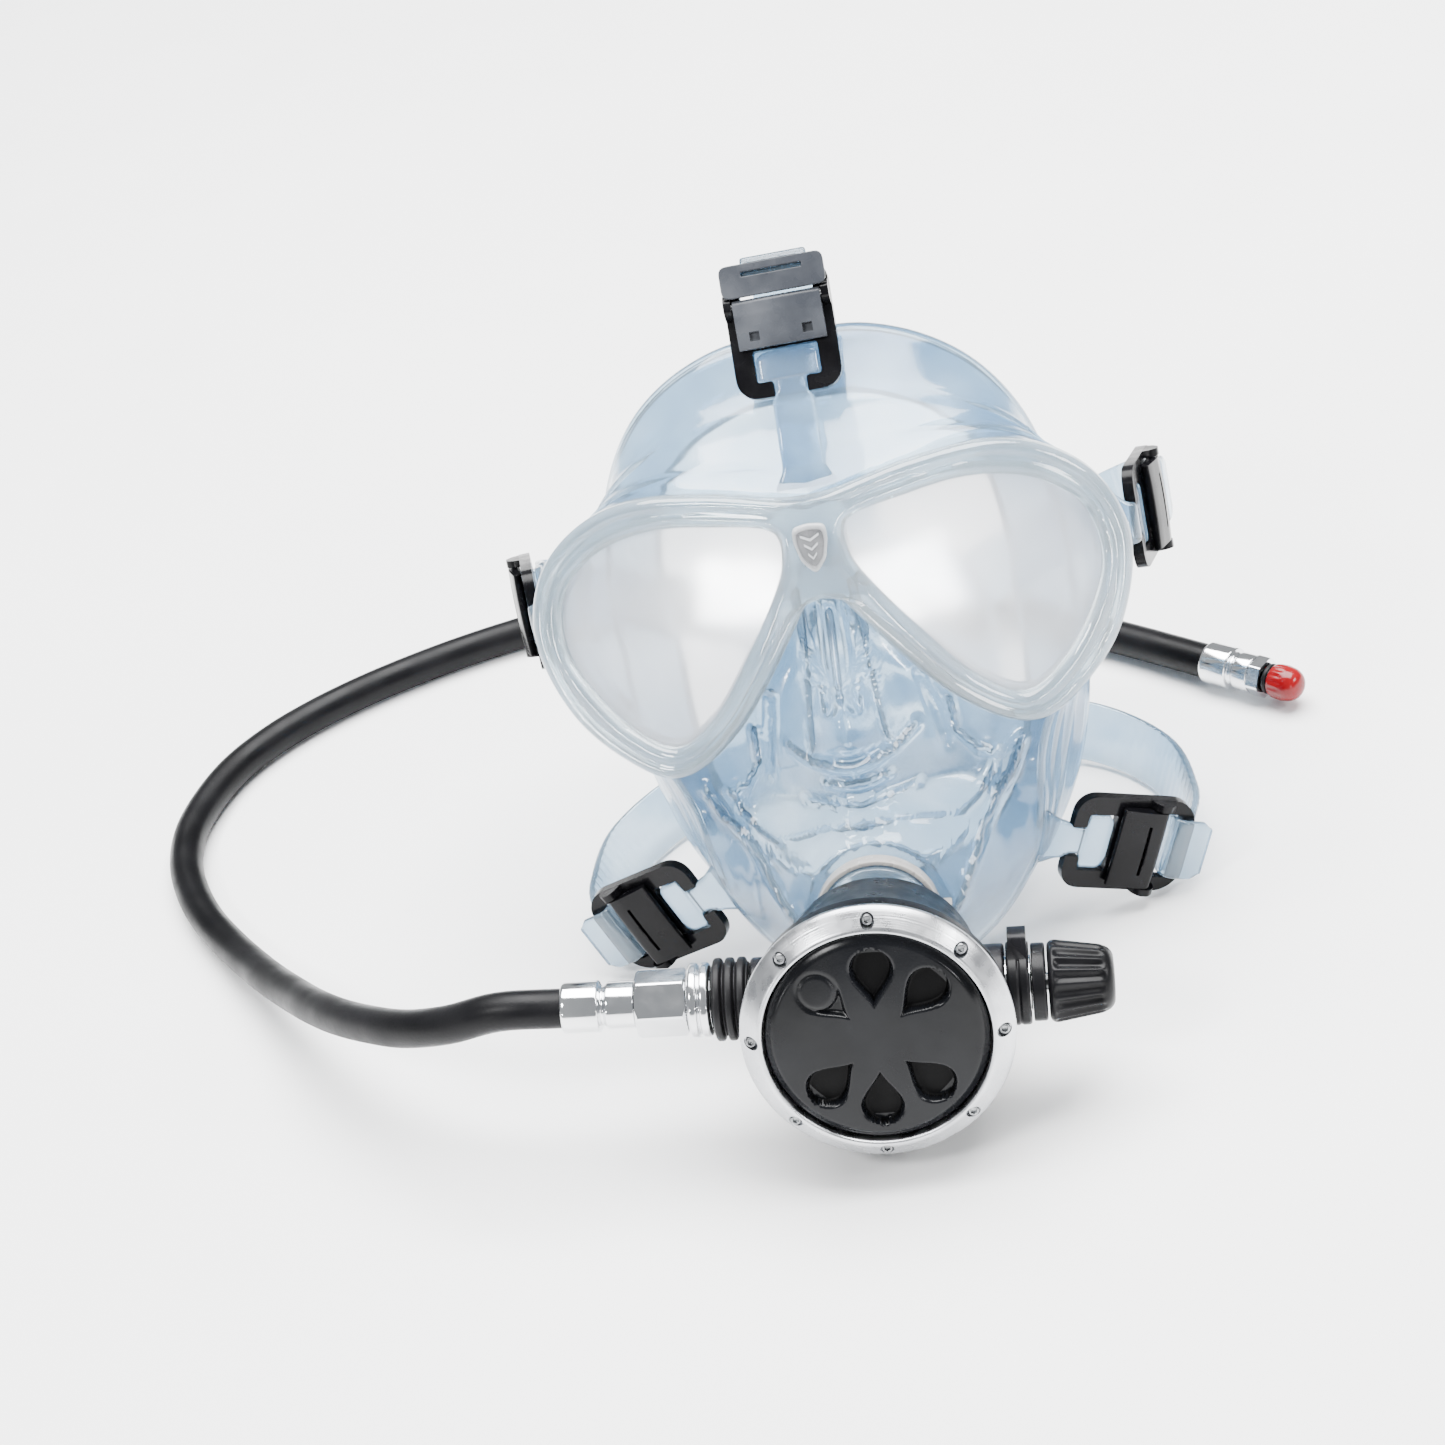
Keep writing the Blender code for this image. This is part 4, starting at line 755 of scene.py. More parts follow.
def skirt_front_y(x, z):
    """Depth of the skirt's front face: lens seats, nose pocket and mouth chamber."""
    base = wrap(x) + SKIRT_FRONT
    nose = 0.0
    below = NOSE_TOP - z
    if below > 0:
        half = 0.5 + 0.68 * min(below, NOSE_LENGTH)
        lateral = smooth_step(1.0 - abs(x) / half)
        rise = smooth_step(below / 31.0) * (1.0 - 0.4 * smooth_step((below - 37.0) / 20.0))
        nose = NOSE_DEPTH * lateral * rise
    tilt = math.tan(math.radians(REG_TILT))
    dz = z - PORT_CENTRE_Z
    flat = REG_Y + PORT_STANDOFF - dz * tilt
    radius = max(1e-6, math.hypot(x, dz))
    reach_z = MOUTH_UP if dz > 0 else MOUTH_DOWN
    reach = 1.0 / max(1e-9, math.hypot(x / radius / MOUTH_HALF_WIDTH, dz / radius / reach_z))
    land = PORT_RADIUS + 2.5
    mouth = (base - flat) * (1.0 - smooth_step((radius - land) / (reach - land)))
    return base - (max(nose, 0.0) ** 4 + max(mouth, 0.0) ** 4) ** 0.25


def skirt_rings(count=240):
    """Rings from the nose outward: over the front face, back along the wall and in over the seal."""
    angles = [2 * math.pi * index / count for index in range(count)]
    front_half = spline(SKIRT_EDGE, False, 10)
    rim_half = spline(RIM_EDGE, False, 10)
    front = front_half + [Vector((-p[0], p[1])) for p in reversed(front_half[1:-1])]
    rim = rim_half + [Vector((-p[0], p[1])) for p in reversed(rim_half[1:-1])]
    edge = [ray_point(front, SKIRT_CENTRE, a) for a in angles]
    back = [ray_point(rim, SKIRT_CENTRE, a) for a in angles]
    centre = Vector(SKIRT_CENTRE)
    rings = []
    for step in range(1, FRONT_STEPS + 1):
        share = step / FRONT_STEPS
        ring = []
        for point in edge:
            spot = centre + (point - centre) * share
            fade = smooth_step((1.0 - share) / 0.05)
            y = skirt_front_y(spot[0], spot[1]) - crease_height(spot[0], spot[1]) * fade
            ring.append(Vector((spot[0], y + 1.2 * (1 - smooth_step((1.0 - share) / 0.02)), spot[1])))
        rings.append(ring)
    for step in range(1, WALL_STEPS + 1):
        t = step / WALL_STEPS
        spread_out = t ** 1.25
        bead = 0.9 * math.exp(-((t - 0.30) / 0.05) ** 2) + 0.9 * math.exp(-((t - 0.62) / 0.05) ** 2)
        ring = []
        for point, rear in zip(edge, back):
            start = skirt_front_y(point[0], point[1]) + 1.8
            stop = interpolate(RIM_DEPTH, rear[1]) - 3.0
            outward = (point - centre).normalized()
            spot = point + (rear - point) * spread_out + outward * bead
            ring.append(Vector((spot[0], start + (stop - start) * t, spot[1])))
        rings.append(ring)
    for inset, rise in ((-0.8, -1.4), (-1.0, 0.2), (-0.6, 1.6), (0.6, 2.6), (2.4, 3.1), (4.5, 3.2),
                        (7.5, 3.0), (11.0, 2.5), (14.5, 1.2), (17.0, -0.4), (RIM_FLANGE, -2.2)):
        ring = []
        for rear in back:
            spot = rear + (centre - rear).normalized() * inset
            ring.append(Vector((spot[0], interpolate(RIM_DEPTH, rear[1]) + rise, spot[1])))
        rings.append(ring)
    return rings


def add_shell(data, pole_point, rings, thickness):
    """Closed shell: the ringed surface, its offset copy and the edge that joins them."""
    surface = bmesh.new()
    pole = surface.verts.new(pole_point)
    loops = [[surface.verts.new(point) for point in ring] for ring in rings]
    count = len(rings[0])
    for index in range(count):
        surface.faces.new((pole, loops[0][(index + 1) % count], loops[0][index]))
    skin(surface, loops, cap=False)
    surface.normal_update()
    if pole.normal.y > 0:
        bmesh.ops.reverse_faces(surface, faces=surface.faces)
        surface.normal_update()
    surface.verts.index_update()
    order = list(surface.verts)
    outer = [data.verts.new(vert.co) for vert in order]
    inner = [data.verts.new(vert.co - vert.normal * thickness) for vert in order]
    for face in surface.faces:
        ids = [vert.index for vert in face.verts]
        data.faces.new([outer[i] for i in ids])
        data.faces.new([inner[i] for i in reversed(ids)])
    last = [vert.index for vert in loops[-1]]
    for index in range(count):
        a = last[index]
        b = last[(index + 1) % count]
        data.faces.new((outer[a], outer[b], inner[b], inner[a]))
    surface.free()


def window(data, side):
    """Lens opening through the front of the skirt."""
    rings = []
    for depth in (SKIRT_FRONT - 4.0, SKIRT_FRONT + SKIRT_WALL + 1.6):
        ring = []
        for edge, lens, seam in lens_stations(90):
            ring.append(data.verts.new((side * lens[0], depth + wrap(lens[0]), lens[1])))
        rings.append(ring)
    skin(data, rings)


def build_skirt():
    depth = skirt_front_y(*SKIRT_CENTRE) - crease_height(*SKIRT_CENTRE)
    centre = Vector((SKIRT_CENTRE[0], depth, SKIRT_CENTRE[1]))
    skirt = solid("skirt_body", drawn(add_shell, centre, skirt_rings(), SKIRT_WALL), STANCE, SILICONE)
    neck = [(0, 0.6), (14.6, 0.6), (PORT_RADIUS, 0.9), (PORT_RADIUS, 2.0), (PORT_RADIUS, 8.2), (17.4, 9.2),
            (18.2, 10.2), (0, 10.2)]
    combine(skirt, drawn(lathe, fillet(neck, 0.5), "Y", 96), REGULATOR, "UNION")
    bore = [(0, -3.0), (PORT_BORE, -3.0), (PORT_BORE, 20.0), (0, 20.0)]
    combine(skirt, drawn(lathe, bore, "Y", 96), REGULATOR, "DIFFERENCE")
    for side in (1, -1):
        combine(skirt, drawn(window, side), STANCE, "DIFFERENCE", 48.0)
    return place_piece(skirt, "mask", ("skirt",))


# ---- tabs, buckles and harness ----

def buckle_frames():
    """Buckle name, T-head centre, strap direction, face normal and tab root."""
    return [
        ("top", (0, 27, 60), (0, 0.30, 0.954), (0, -0.954, 0.30), (0, 14.6, 27.5)),
        ("upper_right", (87, 42, -2), (0.18, 0.984, 0), (0.984, -0.18, 0), (79, 31, 0)),
        ("upper_left", (-87, 42, -2), (-0.18, 0.984, 0), (-0.984, -0.18, 0), (-79, 31, 0)),
        ("lower_right", (60, 31, -92), (0.87, 0.38, -0.32), (0.25, -0.93, -0.25), (45.5, 25, -87)),
        ("lower_left", (-60, 31, -92), (-0.87, 0.38, -0.32), (-0.25, -0.93, -0.25), (-45.5, 25, -87)),
    ]


def buckle_matrix(head, along, normal):
    u = Vector(along).normalized()
    w = Vector(normal)
    w = (w - u * w.dot(u)).normalized()
    turn = Matrix((u, w.cross(u), w)).transposed().to_4x4()
    return Matrix.Translation(Vector(head)) @ turn


def rounded_section(width, thick, corner=0.45):
    """Outline of a strap's cross-section."""
    half = width / 2
    low = thick / 2
    return fillet([(-half, -low), (half, -low), (half, low), (-half, low)], corner * thick, True, 3)


def ribbon(data, stations):
    """Strip with rounded edges through stations of (point, side, width, thickness)."""
    rings = []
    for index, (point, side, width, thick) in enumerate(stations):
        before = Vector(stations[max(0, index - 1)][0])
        after = Vector(stations[min(len(stations) - 1, index + 1)][0])
        along = (after - before).normalized()
        across = Vector(side)
        across = (across - along * across.dot(along)).normalized()
        normal = along.cross(across).normalized()
        rings.append([data.verts.new(Vector(point) + across * a + normal * b)
                      for a, b in rounded_section(width, thick)])
    skin(data, rings)


def build_tab(name, place, root):
    """Silicone tab: a strap from the skirt, a narrow neck and a rounded T-head."""
    side = place.to_3x3() @ Vector((0, 1, 0))
    data = bmesh.new()
    keys = [Vector(root)]
    if name == "top":
        keys.append(Vector((0, 18.2, 41)))
    keys += [place @ Vector((u, 0, 1.6)) for u in (-10.0, -5.5, -3.0, 1.0, 4.9)]
    path = spline([tuple(key) for key in keys], False, 12)
    lengths = [0.0]
    for first, second in zip(path, path[1:]):
        lengths.append(lengths[-1] + (second - first).length)
    total = lengths[-1]
    stations = []
    for point, reach in zip(path, lengths):
        left = total - reach
        head = smooth_step((8.6 - left) / 1.0)
        tip = math.sqrt(max(0.04, 1.0 - max(0.0, (2.6 - left) / 2.6) ** 2))
        flare = 1.0 + 0.45 * smooth_step((7.0 - reach) / 7.0)
        neck = 12.0 - (12.0 - NECK_WIDTH) * smooth_step((15.0 - left) / 4.0)
        width = (neck * flare) * (1 - head) + HEAD_WIDTH * (0.55 + 0.45 * tip) * head
        stations.append((point, side, width, (2.6 + 0.5 * head) * (0.5 + 0.5 * tip)))
    ribbon(data, stations)
    return place_piece(solid("tab_" + name, data, STANCE, SILICONE, 60.0), "mask")


def build_buckle(name, place):
    half = BUCKLE_WIDTH / 2
    end = BUCKLE_END
    spot = STANCE @ place
    outline = [(-8, -half + 3.5), (-4.5, -half), (end - 5, -half), (end, -half + 4.5), (end, half - 4.5),
               (end - 5, half), (-4.5, half), (-8, half - 3.5)]
    plate = drawn(prism, fillet(outline, 3.0, True), 0.0, BUCKLE_THICK, "Z")
    body = solid("buckle_" + name, plate, spot, BUCKLE)
    ear = fillet([(13.8, 0.5), (23.0, 0.5), (21.6, 5.4), (19.6, 7.2), (17.0, 7.2), (15.2, 5.4)], 0.8, True)
    for side in (-1, 1):
        low, high = sorted((side * (half - 0.05), side * (half - 2.2)))
        combine(body, drawn(prism, ear, low, high), spot, "UNION")
    neck = NECK_WIDTH / 2 + 0.4
    wide = HEAD_WIDTH / 2 + 0.4
    head = [(-9, -neck), (-3.6, -neck), (-3.6, -wide), (5.4, -wide), (5.4, wide), (-3.6, wide), (-3.6, neck),
            (-9, neck)]
    for hole in (head, box_outline((20.0, -10.5), (end - 4.2, 10.5))):
        tool = drawn(prism, fillet(hole, 0.9, True, 3), -1.0, BUCKLE_THICK + 1.0, "Z")
        combine(body, tool, spot, "DIFFERENCE")
    place_piece(soften(body, 0.45, 3), "mask", ("buckle_body_" + name,))


def build_cover(place):
    """Plate over the strap on the top buckle, dark grey as a painted reflection of the bright sky on black
    plastic, with one long slot.
    """
    half = BUCKLE_WIDTH / 2 - 0.2
    spot = STANCE @ place
    outline = fillet(box_outline((20.3, -half), (BUCKLE_END - 0.4, half)), 2.4, True)
    plate = drawn(prism, outline, COVER_HEIGHT, COVER_HEIGHT + 1.2, "Z")
    cover = solid("buckle_cover", plate, spot, PAINTED_SHEEN_GREY)
    slot = fillet(box_outline((26.0, -8.6), (27.3, 8.6)), 0.5, True)
    combine(cover, drawn(prism, slot, COVER_HEIGHT - 1, COVER_HEIGHT + 2, "Z"), spot, "DIFFERENCE")
    place_piece(soften(cover, 0.35, 3), "mask")


def build_lever(name, place):
    """Release plate on its pin, with a ridged thumb edge."""
    reach = BUCKLE_WIDTH / 2 - 2.6
    spot = STANCE @ place @ Matrix.Translation((18.2, 0, 5.2))
    shape = [(-11.6, -1.6), (-1.4, -1.6), (0.2, -1.7), (1.6, -0.6), (1.6, 0.8), (0.6, 1.8), (-3.0, 1.9),
             (-9.0, 1.1), (-12.4, 0.5), (-12.5, -0.6)]
    data = bmesh.new()
    rings = []
    for share in (-1.0, -0.75, -0.5, -0.25, 0.0, 0.25, 0.5, 0.75, 1.0):
        crown = 0.35 * (1 - share * share)
        rings.append([data.verts.new((u, share * reach, w + (crown if w > 0 else 0.0)))
                      for u, w in fillet(shape, 0.7, True, 3)])
    skin(data, rings)
    # the top lever gets the grey painted reflection of the sky; the other levers stay black
    surface = PAINTED_SHEEN_GREY if name == "top" else BUCKLE
    lever = solid("lever_" + name, data, spot, surface)
    groove = box_outline((-4.2, -8.0), (-3.3, 8.0))
    eyes = [box_outline((-10.4, v), (-7.8, v + 2.8)) for v in (-8.9, 6.1)]
    for hole in (eyes if name == "top" else [groove]):
        combine(lever, drawn(prism, hole, -0.2 if name == "top" else 0.5, 4.0, "Z"), spot, "DIFFERENCE")
    place_piece(soften(lever, 0.3, 2), "clip_" + name, ("buckle_lever_" + name,))
    pin = [(0, -14.9), (0.9, -14.9), (0.9, 14.9), (0, 14.9)]
    pin = turned("pin_" + name, pin, "Y", STEEL, spot, 0.25, segments=32)
    place_piece(pin, "mask", ("lever_pin_" + name,))


def strap_path(place, way, tail):
    """Centre line of one strap from its tail, round the end bar and on to the back pad."""
    side = place.to_3x3() @ Vector((0, 1, 0))
    end = BUCKLE_END
    slot = end - 6.0
    top = BUCKLE_THICK + 1.7
    low = -1.7
    fold = [(end + tail, top), (end - 1, top), (slot + 2.2, top), (slot + 0.7, top - 0.8), (slot, 2.9),
            (slot, 0.6), (slot + 0.7, low + 0.7), (slot + 2.2, low), (end - 1, low), (end + 2, low - 1.2)]
    turn = spline([tuple(place @ Vector((u, 0, w))) for u, w in fold], False, 6)
    last = [tuple(place @ Vector((u, 0, w))) for u, w in fold[-2:]]
    run = spline(last + [point for point, lean in way], False, 30)[31:]
    target = Vector(way[-1][1])
    stations = [(point, side) for point in turn]
    for index, point in enumerate(run):
        stations.append((point, side.lerp(target, smooth_step((index + 1) / len(run)))))
    return stations


def build_strap(name, place, way):
    """Ribbed strap: cross ribs on its tail and along its run."""
    path = strap_path(place, way, 0.0 if name == "top" else TAIL_LENGTH)
    data = bmesh.new()
    travelled = 0.0
    stations = []
    for index, (point, side) in enumerate(path):
        if index:
            travelled += (point - path[index - 1][0]).length
        rib = 0.35 * max(0.0, math.sin(travelled * 2 * math.pi / 3.6)) if travelled > 1.5 else 0.0
        width = STRAP_WIDTH * (0.80 + 0.20 * smooth_step(travelled / 3.0))
        stations.append((point, side, width, STRAP_THICK + rib))
    ribbon(data, stations)
    place_piece(solid("strap_" + name, data, STANCE, SILICONE, 70.0), "mask")


def build_harness():
    outline = [(-24, -12), (24, -12), (36, -22), (40, -45), (38, -68), (28, -89.8), (-28, -89.8), (-38, -68),
               (-40, -45), (-36, -22)]
    outline = [tuple(p) for p in fillet(outline, 9.0, True, 5)]
    centre = Vector((0.0, -50.0))
    data = bmesh.new()
    rings = []
    for share, level in ((0.12, -1.0), (0.5, -1.0), (0.86, -1.0), (0.90, -1.9), (0.97, -2.0), (1.0, -1.3),
                         (1.0, 1.0), (0.97, 1.6), (0.90, 1.5), (0.86, 0.9), (0.5, 0.9), (0.12, 0.9)):
        ring = []
        for point in outline:
            spot = centre + (Vector(point) - centre) * share
            ring.append(data.verts.new((spot[0], PAD_Y + level, spot[1])))
        rings.append(ring)
    skin(data, rings)
    pad = solid("harness_pad", data, STANCE, SILICONE, 60.0)
    for z in (-32, -44, -56, -68):
        slot = fillet(box_outline((-17, z - 2.2), (17, z + 2.2)), 2.1, True)
        combine(pad, drawn(prism, slot, PAD_Y - 5, PAD_Y + 5), STANCE, "DIFFERENCE", 60.0)
    place_piece(pad, "mask", ("head_harness",))
    ways = {
        "top": [((0, 54, 80), (1, 0, 0)), ((0, 86, 50), (1, 0, 0)), ((0, 109, 10), (1, 0, 0)),
                ((0, PAD_Y, -16), (1, 0, 0))],
        "upper": [((92, 86, -4), (0, 0, 1)), ((82, 102, -10), (0, 0, 1)), ((60, PAD_Y, -20), (0.1, 0, 1)),
                  ((34, PAD_Y, -30), (0.3, 0, 1))],
        "lower": [((89, 60, -98), (0, 0, 1)), ((84, 84, -90), (0, 0, 1)), ((64, 104, -82), (0.05, 0, 1)),
                  ((33, PAD_Y, -76), (0.15, 0, 1))],
    }
    for name, head, along, normal, root in buckle_frames():
        place = buckle_matrix(head, along, normal)
        way = ways[name.split("_")[0]]
        if name.endswith("left"):
            way = [((-x, y, z), (-a, b, c)) for (x, y, z), (a, b, c) in way]
        side = place.to_3x3() @ Vector((0, 1, 0))
        if side.dot(Vector(way[0][1])) < 0:
            way = [(point, tuple(-c for c in lean)) for point, lean in way]
        build_strap(name, place, way)
        build_tab(name, place, root)
        build_buckle(name, place)
        build_lever(name, place)
        if name == "top":
            build_cover(place)


# ---- demand regulator ----

def build_case():
    depth = CASE_DEPTH
    profile = [(0, 0), (25.5, 0), (27, -2), (31, -depth + 9), (RING_RADIUS - 1.5, -depth + 5.5),
               (RING_RADIUS - 1.5, -depth), (30.4, -depth), (28.6, -depth + 8), (24.6, -4), (22.6, -2.4),
               (0, -2.4)]
    case = solid("case_shell", drawn(lathe, fillet(profile, 1.2), "Y", 120), CASE, BLACK)

    def round_bar(radius, low, high, corner, axis, segments, place, operation, centre=(0, 0, 0)):
        bar = [(0, low), (radius, low), (radius, high), (0, high)]
        if corner:
            bar = fillet(bar, corner)
        combine(case, drawn(lathe, bar, axis, segments, centre=centre), place, operation)
    for side in (-1, 1):
        low, high = sorted((side * 24.0, side * 34.5))
        round_bar(11.0, low, high, 1.0, "X", 72, VALVE, "UNION")
    round_bar(13.1, -1.2, 15.0, 0.6, "Y", 96, REGULATOR, "UNION")
    round_bar(VALVE_RADIUS + 0.3, -40, 40, 0.0, "X", 72, VALVE, "DIFFERENCE")
    round_bar(11.0, -5, 18, 0.0, "Y", 72, REGULATOR, "DIFFERENCE")
    round_bar(6.8, -5, 3, 0.0, "Y", 48, CASE, "DIFFERENCE", (0, 0, -EXHAUST_DROP))
    place_piece(soften(case, 0.4, 2, 50.0), "mask", ("regulator_case",))


def build_ring():
    y = -CASE_DEPTH - 1.9
    profile = [(RING_BORE, y), (RING_RADIUS - 0.6, y), (RING_RADIUS, y - 0.6), (RING_RADIUS, y - 1.8),
               (RING_RADIUS - 0.9, y - 2.9), (RING_BORE + 1.6, y - 6.3), (RING_BORE + 0.6, y - 6.6),
               (RING_BORE, y - 6.0)]
    ring = turned("front_ring", profile, "Y", SATIN, CASE, 0.5, True, 160)
    middle = (RING_RADIUS + RING_BORE) / 2
    head = [(0, y - 2.4), (1.45, y - 2.4), (1.6, y - 3.8), (1.4, y - 4.4), (0.85, y - 4.5), (0.8, y - 3.6),
            (0, y - 3.5)]

    def socket(turn, radius, height):
        """The inner part of the head is a hexagon socket."""
        return radius if radius > 1.0 else radius * 0.93 / math.cos((turn % (math.pi / 3)) - math.pi / 6)
    for index in range(8):
        turn = math.radians(45.0 * index)
        x = middle * math.cos(turn)
        z = middle * math.sin(turn)
        hole = [(0, y - 9), (1.95, y - 9), (1.95, y - 2.0), (0, y - 2.0)]
        combine(ring, drawn(lathe, hole, "Y", 32, centre=(x, 0, z)), CASE, "DIFFERENCE")
        place = CASE @ Matrix.Translation((x, 0, z))
        screw = turned("screw_" + str(index + 1), head, "Y", STEEL, place, 0.2, segments=36, swell=socket)
        place_piece(screw, "mask", ("ring_screw_" + str(index + 1),))
    place_piece(soften(ring, 0.2, 2), "mask", ("case_ring",))


PETALS = (44, 90, 224, 270, 316)
FILLED_PETAL = 136
PETAL_START = 8.6
PETAL_LENGTH = 17.2
PETAL_WIDEST = 20.2
PETAL_HALF_WIDTH = 6.0
PETAL_RECESS = 3.1
DOME_RISE = 4.2
PLUG_REACH = 21.0


def petal_depth(x, z, degrees):
    """Share of the full recess of one teardrop petal at this spot."""
    turn = math.radians(degrees)
    along = x * math.cos(turn) + z * math.sin(turn)
    across = -x * math.sin(turn) + z * math.cos(turn)
    t = (along - PETAL_START) / PETAL_LENGTH
    if t <= 0.0 or t >= 1.0:
        return 0.0
    if along > PETAL_WIDEST:
        half = PETAL_HALF_WIDTH * math.sqrt(max(0.0, 1.0 - ((along - PETAL_WIDEST) / 5.6) ** 2))
    else:
        half = PETAL_HALF_WIDTH * smooth_step(t / 0.68) ** 0.85
    if half < 0.2:
        return 0.0
    return smooth_step((half - abs(across)) / 1.3)


def build_purge_cover():
    """Domed button with teardrop scoops whose deep faces carry painted shade; the upper left one is filled
    by a round plug.
    """
    y = -CASE_DEPTH - 4.6
    edge = RING_BORE - 0.5
    segments = 300
    plug_x = PLUG_REACH * math.cos(math.radians(FILLED_PETAL))
    plug_z = PLUG_REACH * math.sin(math.radians(FILLED_PETAL))
    turns = [2 * math.pi * index / segments for index in range(segments)]
    data = bmesh.new()
    rings = []
    steps = 66
    for step in range(4, steps + 1):
        radius = (edge - 0.3) * step / steps
        ring = []
        for turn in turns:
            x = radius * math.cos(turn)
            z = radius * math.sin(turn)
            dome = DOME_RISE - 1.5 * (radius / edge) ** 2.2 - 0.9 * smooth_step((radius - edge + 2.6) / 2.3)
            deep = max(petal_depth(x, z, d) for d in PETALS)
            plug = math.hypot(x - plug_x, z - plug_z)
            old = petal_depth(x, z, FILLED_PETAL) * smooth_step((plug - 5.2) / 0.9)
            groove = 0.45 * math.exp(-((plug - 5.0) / 0.45) ** 2)
            ring.append(data.verts.new((x, y - dome + PETAL_RECESS * deep + 1.8 * old + groove, z)))
        rings.append(ring)
    pole = data.verts.new((0, y - DOME_RISE, 0))
    for index in range(segments):
        data.faces.new((pole, rings[0][(index + 1) % segments], rings[0][index]))
    for radius, level in ((edge, y - 1.3), (edge, y - 0.2)):
        spots = [(radius * math.cos(turn), level, radius * math.sin(turn)) for turn in turns]
        rings.append([data.verts.new(spot) for spot in spots])
    skin(data, rings, cap=False)
    data.faces.new(list(reversed(rings[-1])))
    # faces deep in the open petals get the darker material as painted shade
    for face in data.faces:
        spot = face.calc_center_median()
        if spot[1] < y - 0.2 and max(petal_depth(spot[0], spot[2], d) for d in PETALS) > 0.6:
            face.material_index = 1
    cover = solid("purge_button", data, CASE, GLOSS, 60.0)
    cover.data.materials.append(PAINTED_SHADE_SCOOP)
    place_piece(cover, "purge_button", ("purge_cover",))


def build_valve_parts():
    tube = [(5.6, -50), (VALVE_RADIUS, -50), (VALVE_RADIUS, 41.4), (5.6, 41.4)]
    place_piece(turned("valve_body", tube, "X", CHROME, VALVE, 0.3, True), "mask", ("valve_tube",))
    flange = [(5.6, 41.6), (10.4, 41.6), (10.6, 42.0), (10.6, 45.0), (10.2, 45.4), (5.6, 45.4)]
    place_piece(turned("valve_collar", flange, "X", BLACK, VALVE, 0.3, True), "mask")
    collar = [(VALVE_RADIUS + 0.4, 34.9), (11.0, 34.9), (11.4, 35.6), (11.4, 37.6), (11.0, 38.1),
              (11.4, 38.6), (11.4, 40.4), (11.0, 41.0), (VALVE_RADIUS + 0.4, 41.0)]
    lever = turned("venturi_collar", collar, "X", BLACK, VALVE, 0.3, True)
    wing = fillet([(-6.5, 8.5), (6.5, 8.5), (4.0, 15.5), (-2.5, 15.5)], 1.4, True)
    combine(lever, drawn(prism, wing, 35.6, 40.6, "X"), VALVE, "UNION")
    place_piece(soften(lever, 0.4, 2), "venturi", ("venturi_lever",))


def build_knob():
    """Slightly conical knob with rounded flutes."""
    start = 45.9
    stop = 63.9
    profile = [(2.7, start), (9.8, start), (10.8, start + 0.6), (11.3, start + 1.8), (9.3, stop - 3.6),
               (8.2, stop - 1.3), (6.6, stop - 0.2), (3.0, stop), (0, stop)]
    rounded = fillet(profile, 1.0)
    dense = []
    for first, second in zip(rounded, rounded[1:]):
        steps = max(1, int((second - first).length / 1.0))
        dense += [first.lerp(second, k / steps) for k in range(steps)]
    dense.append(rounded[-1])

    def flute(turn, radius, height):
        span = smooth_step((height - start - 1.2) / 1.6) * smooth_step((stop - 2.2 - height) / 2.4)
        if radius < 7.0:
            return radius
        return radius - 0.85 * span * (0.5 - 0.5 * math.cos(18 * turn)) ** 0.8
    data = bmesh.new()
    lathe(data, dense, "X", 216, swell=flute)
    bore = [(0, start + 12.0), (2.7, start + 12.0), (2.7, start)]
    lathe(data, bore, "X", 216)
    bmesh.ops.remove_doubles(data, verts=data.verts, dist=0.005)
    place_piece(solid("knob", data, VALVE, BLACK, 60.0), "knob", ("adjusting_knob",))


def build_exhaust():
    z = -EXHAUST_DROP
    outline = [(-34, -12), (-27, -13.4), (27, -13.4), (34, -12), (29, -1), (12.5, 11.2), (-12.5, 11.2),
               (-29, -1)]
    body = drawn(prism, [(x, z + v) for x, v in fillet(outline, 4.0, True, 5)], 0.4, 7.8)
    tee = solid("exhaust_boot", body, CASE, RUBBER)
    inner = [(-40, -9.6), (-14, -11.2), (14, -11.2), (40, -9.6), (28, -5), (10.5, 9.6), (-10.5, 9.6),
             (-28, -5)]
    cut = drawn(prism, [(x, z + v) for x, v in fillet(inner, 2.0, True)], -2.0, 5.9)
    combine(tee, cut, CASE, "DIFFERENCE")
    for x in (-20, -15, 15, 20):
        rib = box_outline((x - 0.8, z - 12.6), (x + 0.8, z - 1.0))
        combine(tee, drawn(prism, rib, 7.4, 8.3), CASE, "UNION")
    place_piece(soften(tee, 0.6, 3), "mask", ("exhaust_tee",))


def build_clamp():
    band = [(PORT_RADIUS + 0.35, 2.4), (PORT_RADIUS + 1.7, 2.4), (PORT_RADIUS + 1.7, 7.4),
            (PORT_RADIUS + 0.35, 7.4)]
    clamp = turned("port_clamp", band, "Y", BAND, REGULATOR, 0.4, True)
    lock = fillet(box_outline((PORT_RADIUS + 0.9, 1.9), (PORT_RADIUS + 4.6, 7.9)), 0.9, True)
    combine(clamp, drawn(prism, lock, -3, 3, "Z"), REGULATOR, "UNION")
    place_piece(soften(clamp, 0.3, 2), "mask", ("mouth_clamp",))


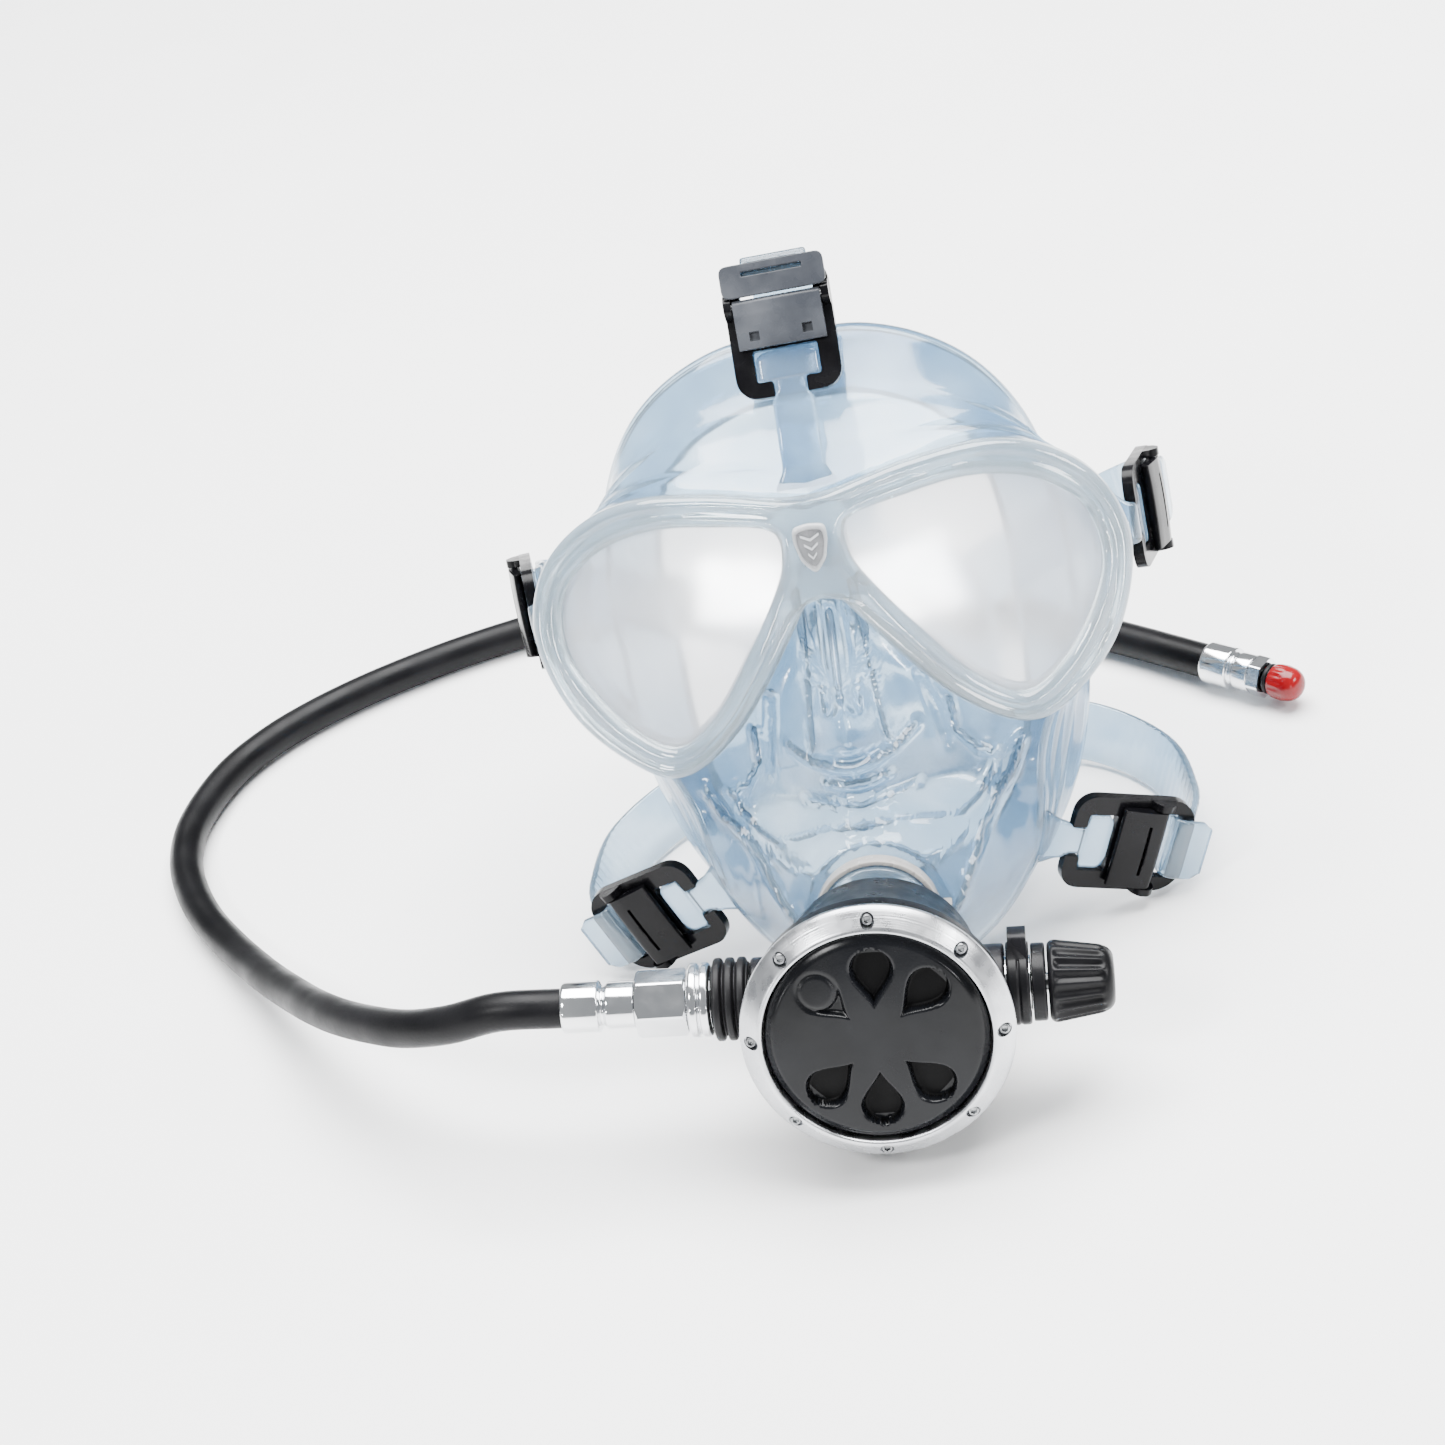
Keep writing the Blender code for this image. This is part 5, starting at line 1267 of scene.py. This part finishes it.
def build_inlet():
    bore = VALVE_RADIUS + 0.35
    boot = [(bore, -45.2), (9.6, -45.2)]
    for index in range(3):
        x = -44.6 + index * 3.3
        boot += [(11.4, x), (11.4, x + 1.9), (10.0, x + 2.3), (10.0, x + 2.9)]
    boot += [(bore, -35.1)]
    place_piece(turned("inlet_sleeve", boot, "X", RUBBER, VALVE, 0.6, True), "mask", ("inlet_boot",))
    collar = [(bore, -52.0), (9.4, -52.0), (10.4, -51.2), (10.4, -49.4), (9.4, -48.8), (10.4, -48.2),
              (10.4, -46.3), (9.4, -45.6), (bore, -45.6)]
    place_piece(turned("inlet_rings", collar, "X", CHROME, VALVE, 0.5, True), "mask", ("inlet_collar",))
    nut = solid("inlet_nut", drawn(prism, hexagon(9.6, 1.0), -66.4, -52.4, "X"), VALVE, CHROME)
    barrel = [(0, -66.5), (8.5, -66.5), (9.7, -65.3), (9.7, -53.5), (8.5, -52.3), (0, -52.3)]
    combine(nut, drawn(lathe, barrel, "X", 96), VALVE, "INTERSECT")
    place_piece(soften(nut, 0.2, 2), "mask", ("hose_nut",))
    fitting = [(0, -66.8), (6.6, -66.8), (6.6, -74.6), (5.6, -75.4), (5.6, -76.2), (7.2, -76.9),
               (7.2, -86.4), (6.8, -87.2), (0, -87.2)]
    place_piece(turned("inlet_ferrule", fitting, "X", CHROME, VALVE, 0.5), "mask", ("hose_end_fitting",))


def dress_inner_nodes():
    """Small inner parts keep their CAD shape and get a finish and softened edges."""
    finishes = {"diaphragm": DISC, "diaphragm_plate": STEEL, "demand_lever": STEEL, "inlet_orifice": CHROME,
                "poppet": BRASS, "poppet_spring": STEEL, "adjusting_screw": STEEL, "exhaust_valve": SILICONE}
    for name, surface in finishes.items():
        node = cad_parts[name]
        node.data.materials.clear()
        node.data.materials.append(surface)
        weld = node.modifiers.new("weld", "WELD")
        weld.merge_threshold = 0.00001
        edge = node.modifiers.new("soften", "BEVEL")
        edge.width = 0.0001
        edge.segments = 2
        edge.limit_method = "ANGLE"


build_camera()
build_stage()
hose_exit = VALVE @ Vector((-87.5, 0, 0))
hose_way = VALVE.to_3x3() @ Vector((-1, 0, 0))
hose, hose_line, hose_length = build_hose(hose_exit, hose_way)
end_pieces = build_far_end(hose_line[-1], (hose_line[-1] - hose_line[-2]).normalized())
build_frame()
build_lens("glass_right", 1, "lens_right")
build_lens("glass_left", -1, "lens_left")
build_badge()
build_skirt()
build_harness()
build_case()
build_ring()
build_purge_cover()
build_valve_parts()
build_knob()
build_exhaust()
build_clamp()
build_inlet()
dress_inner_nodes()
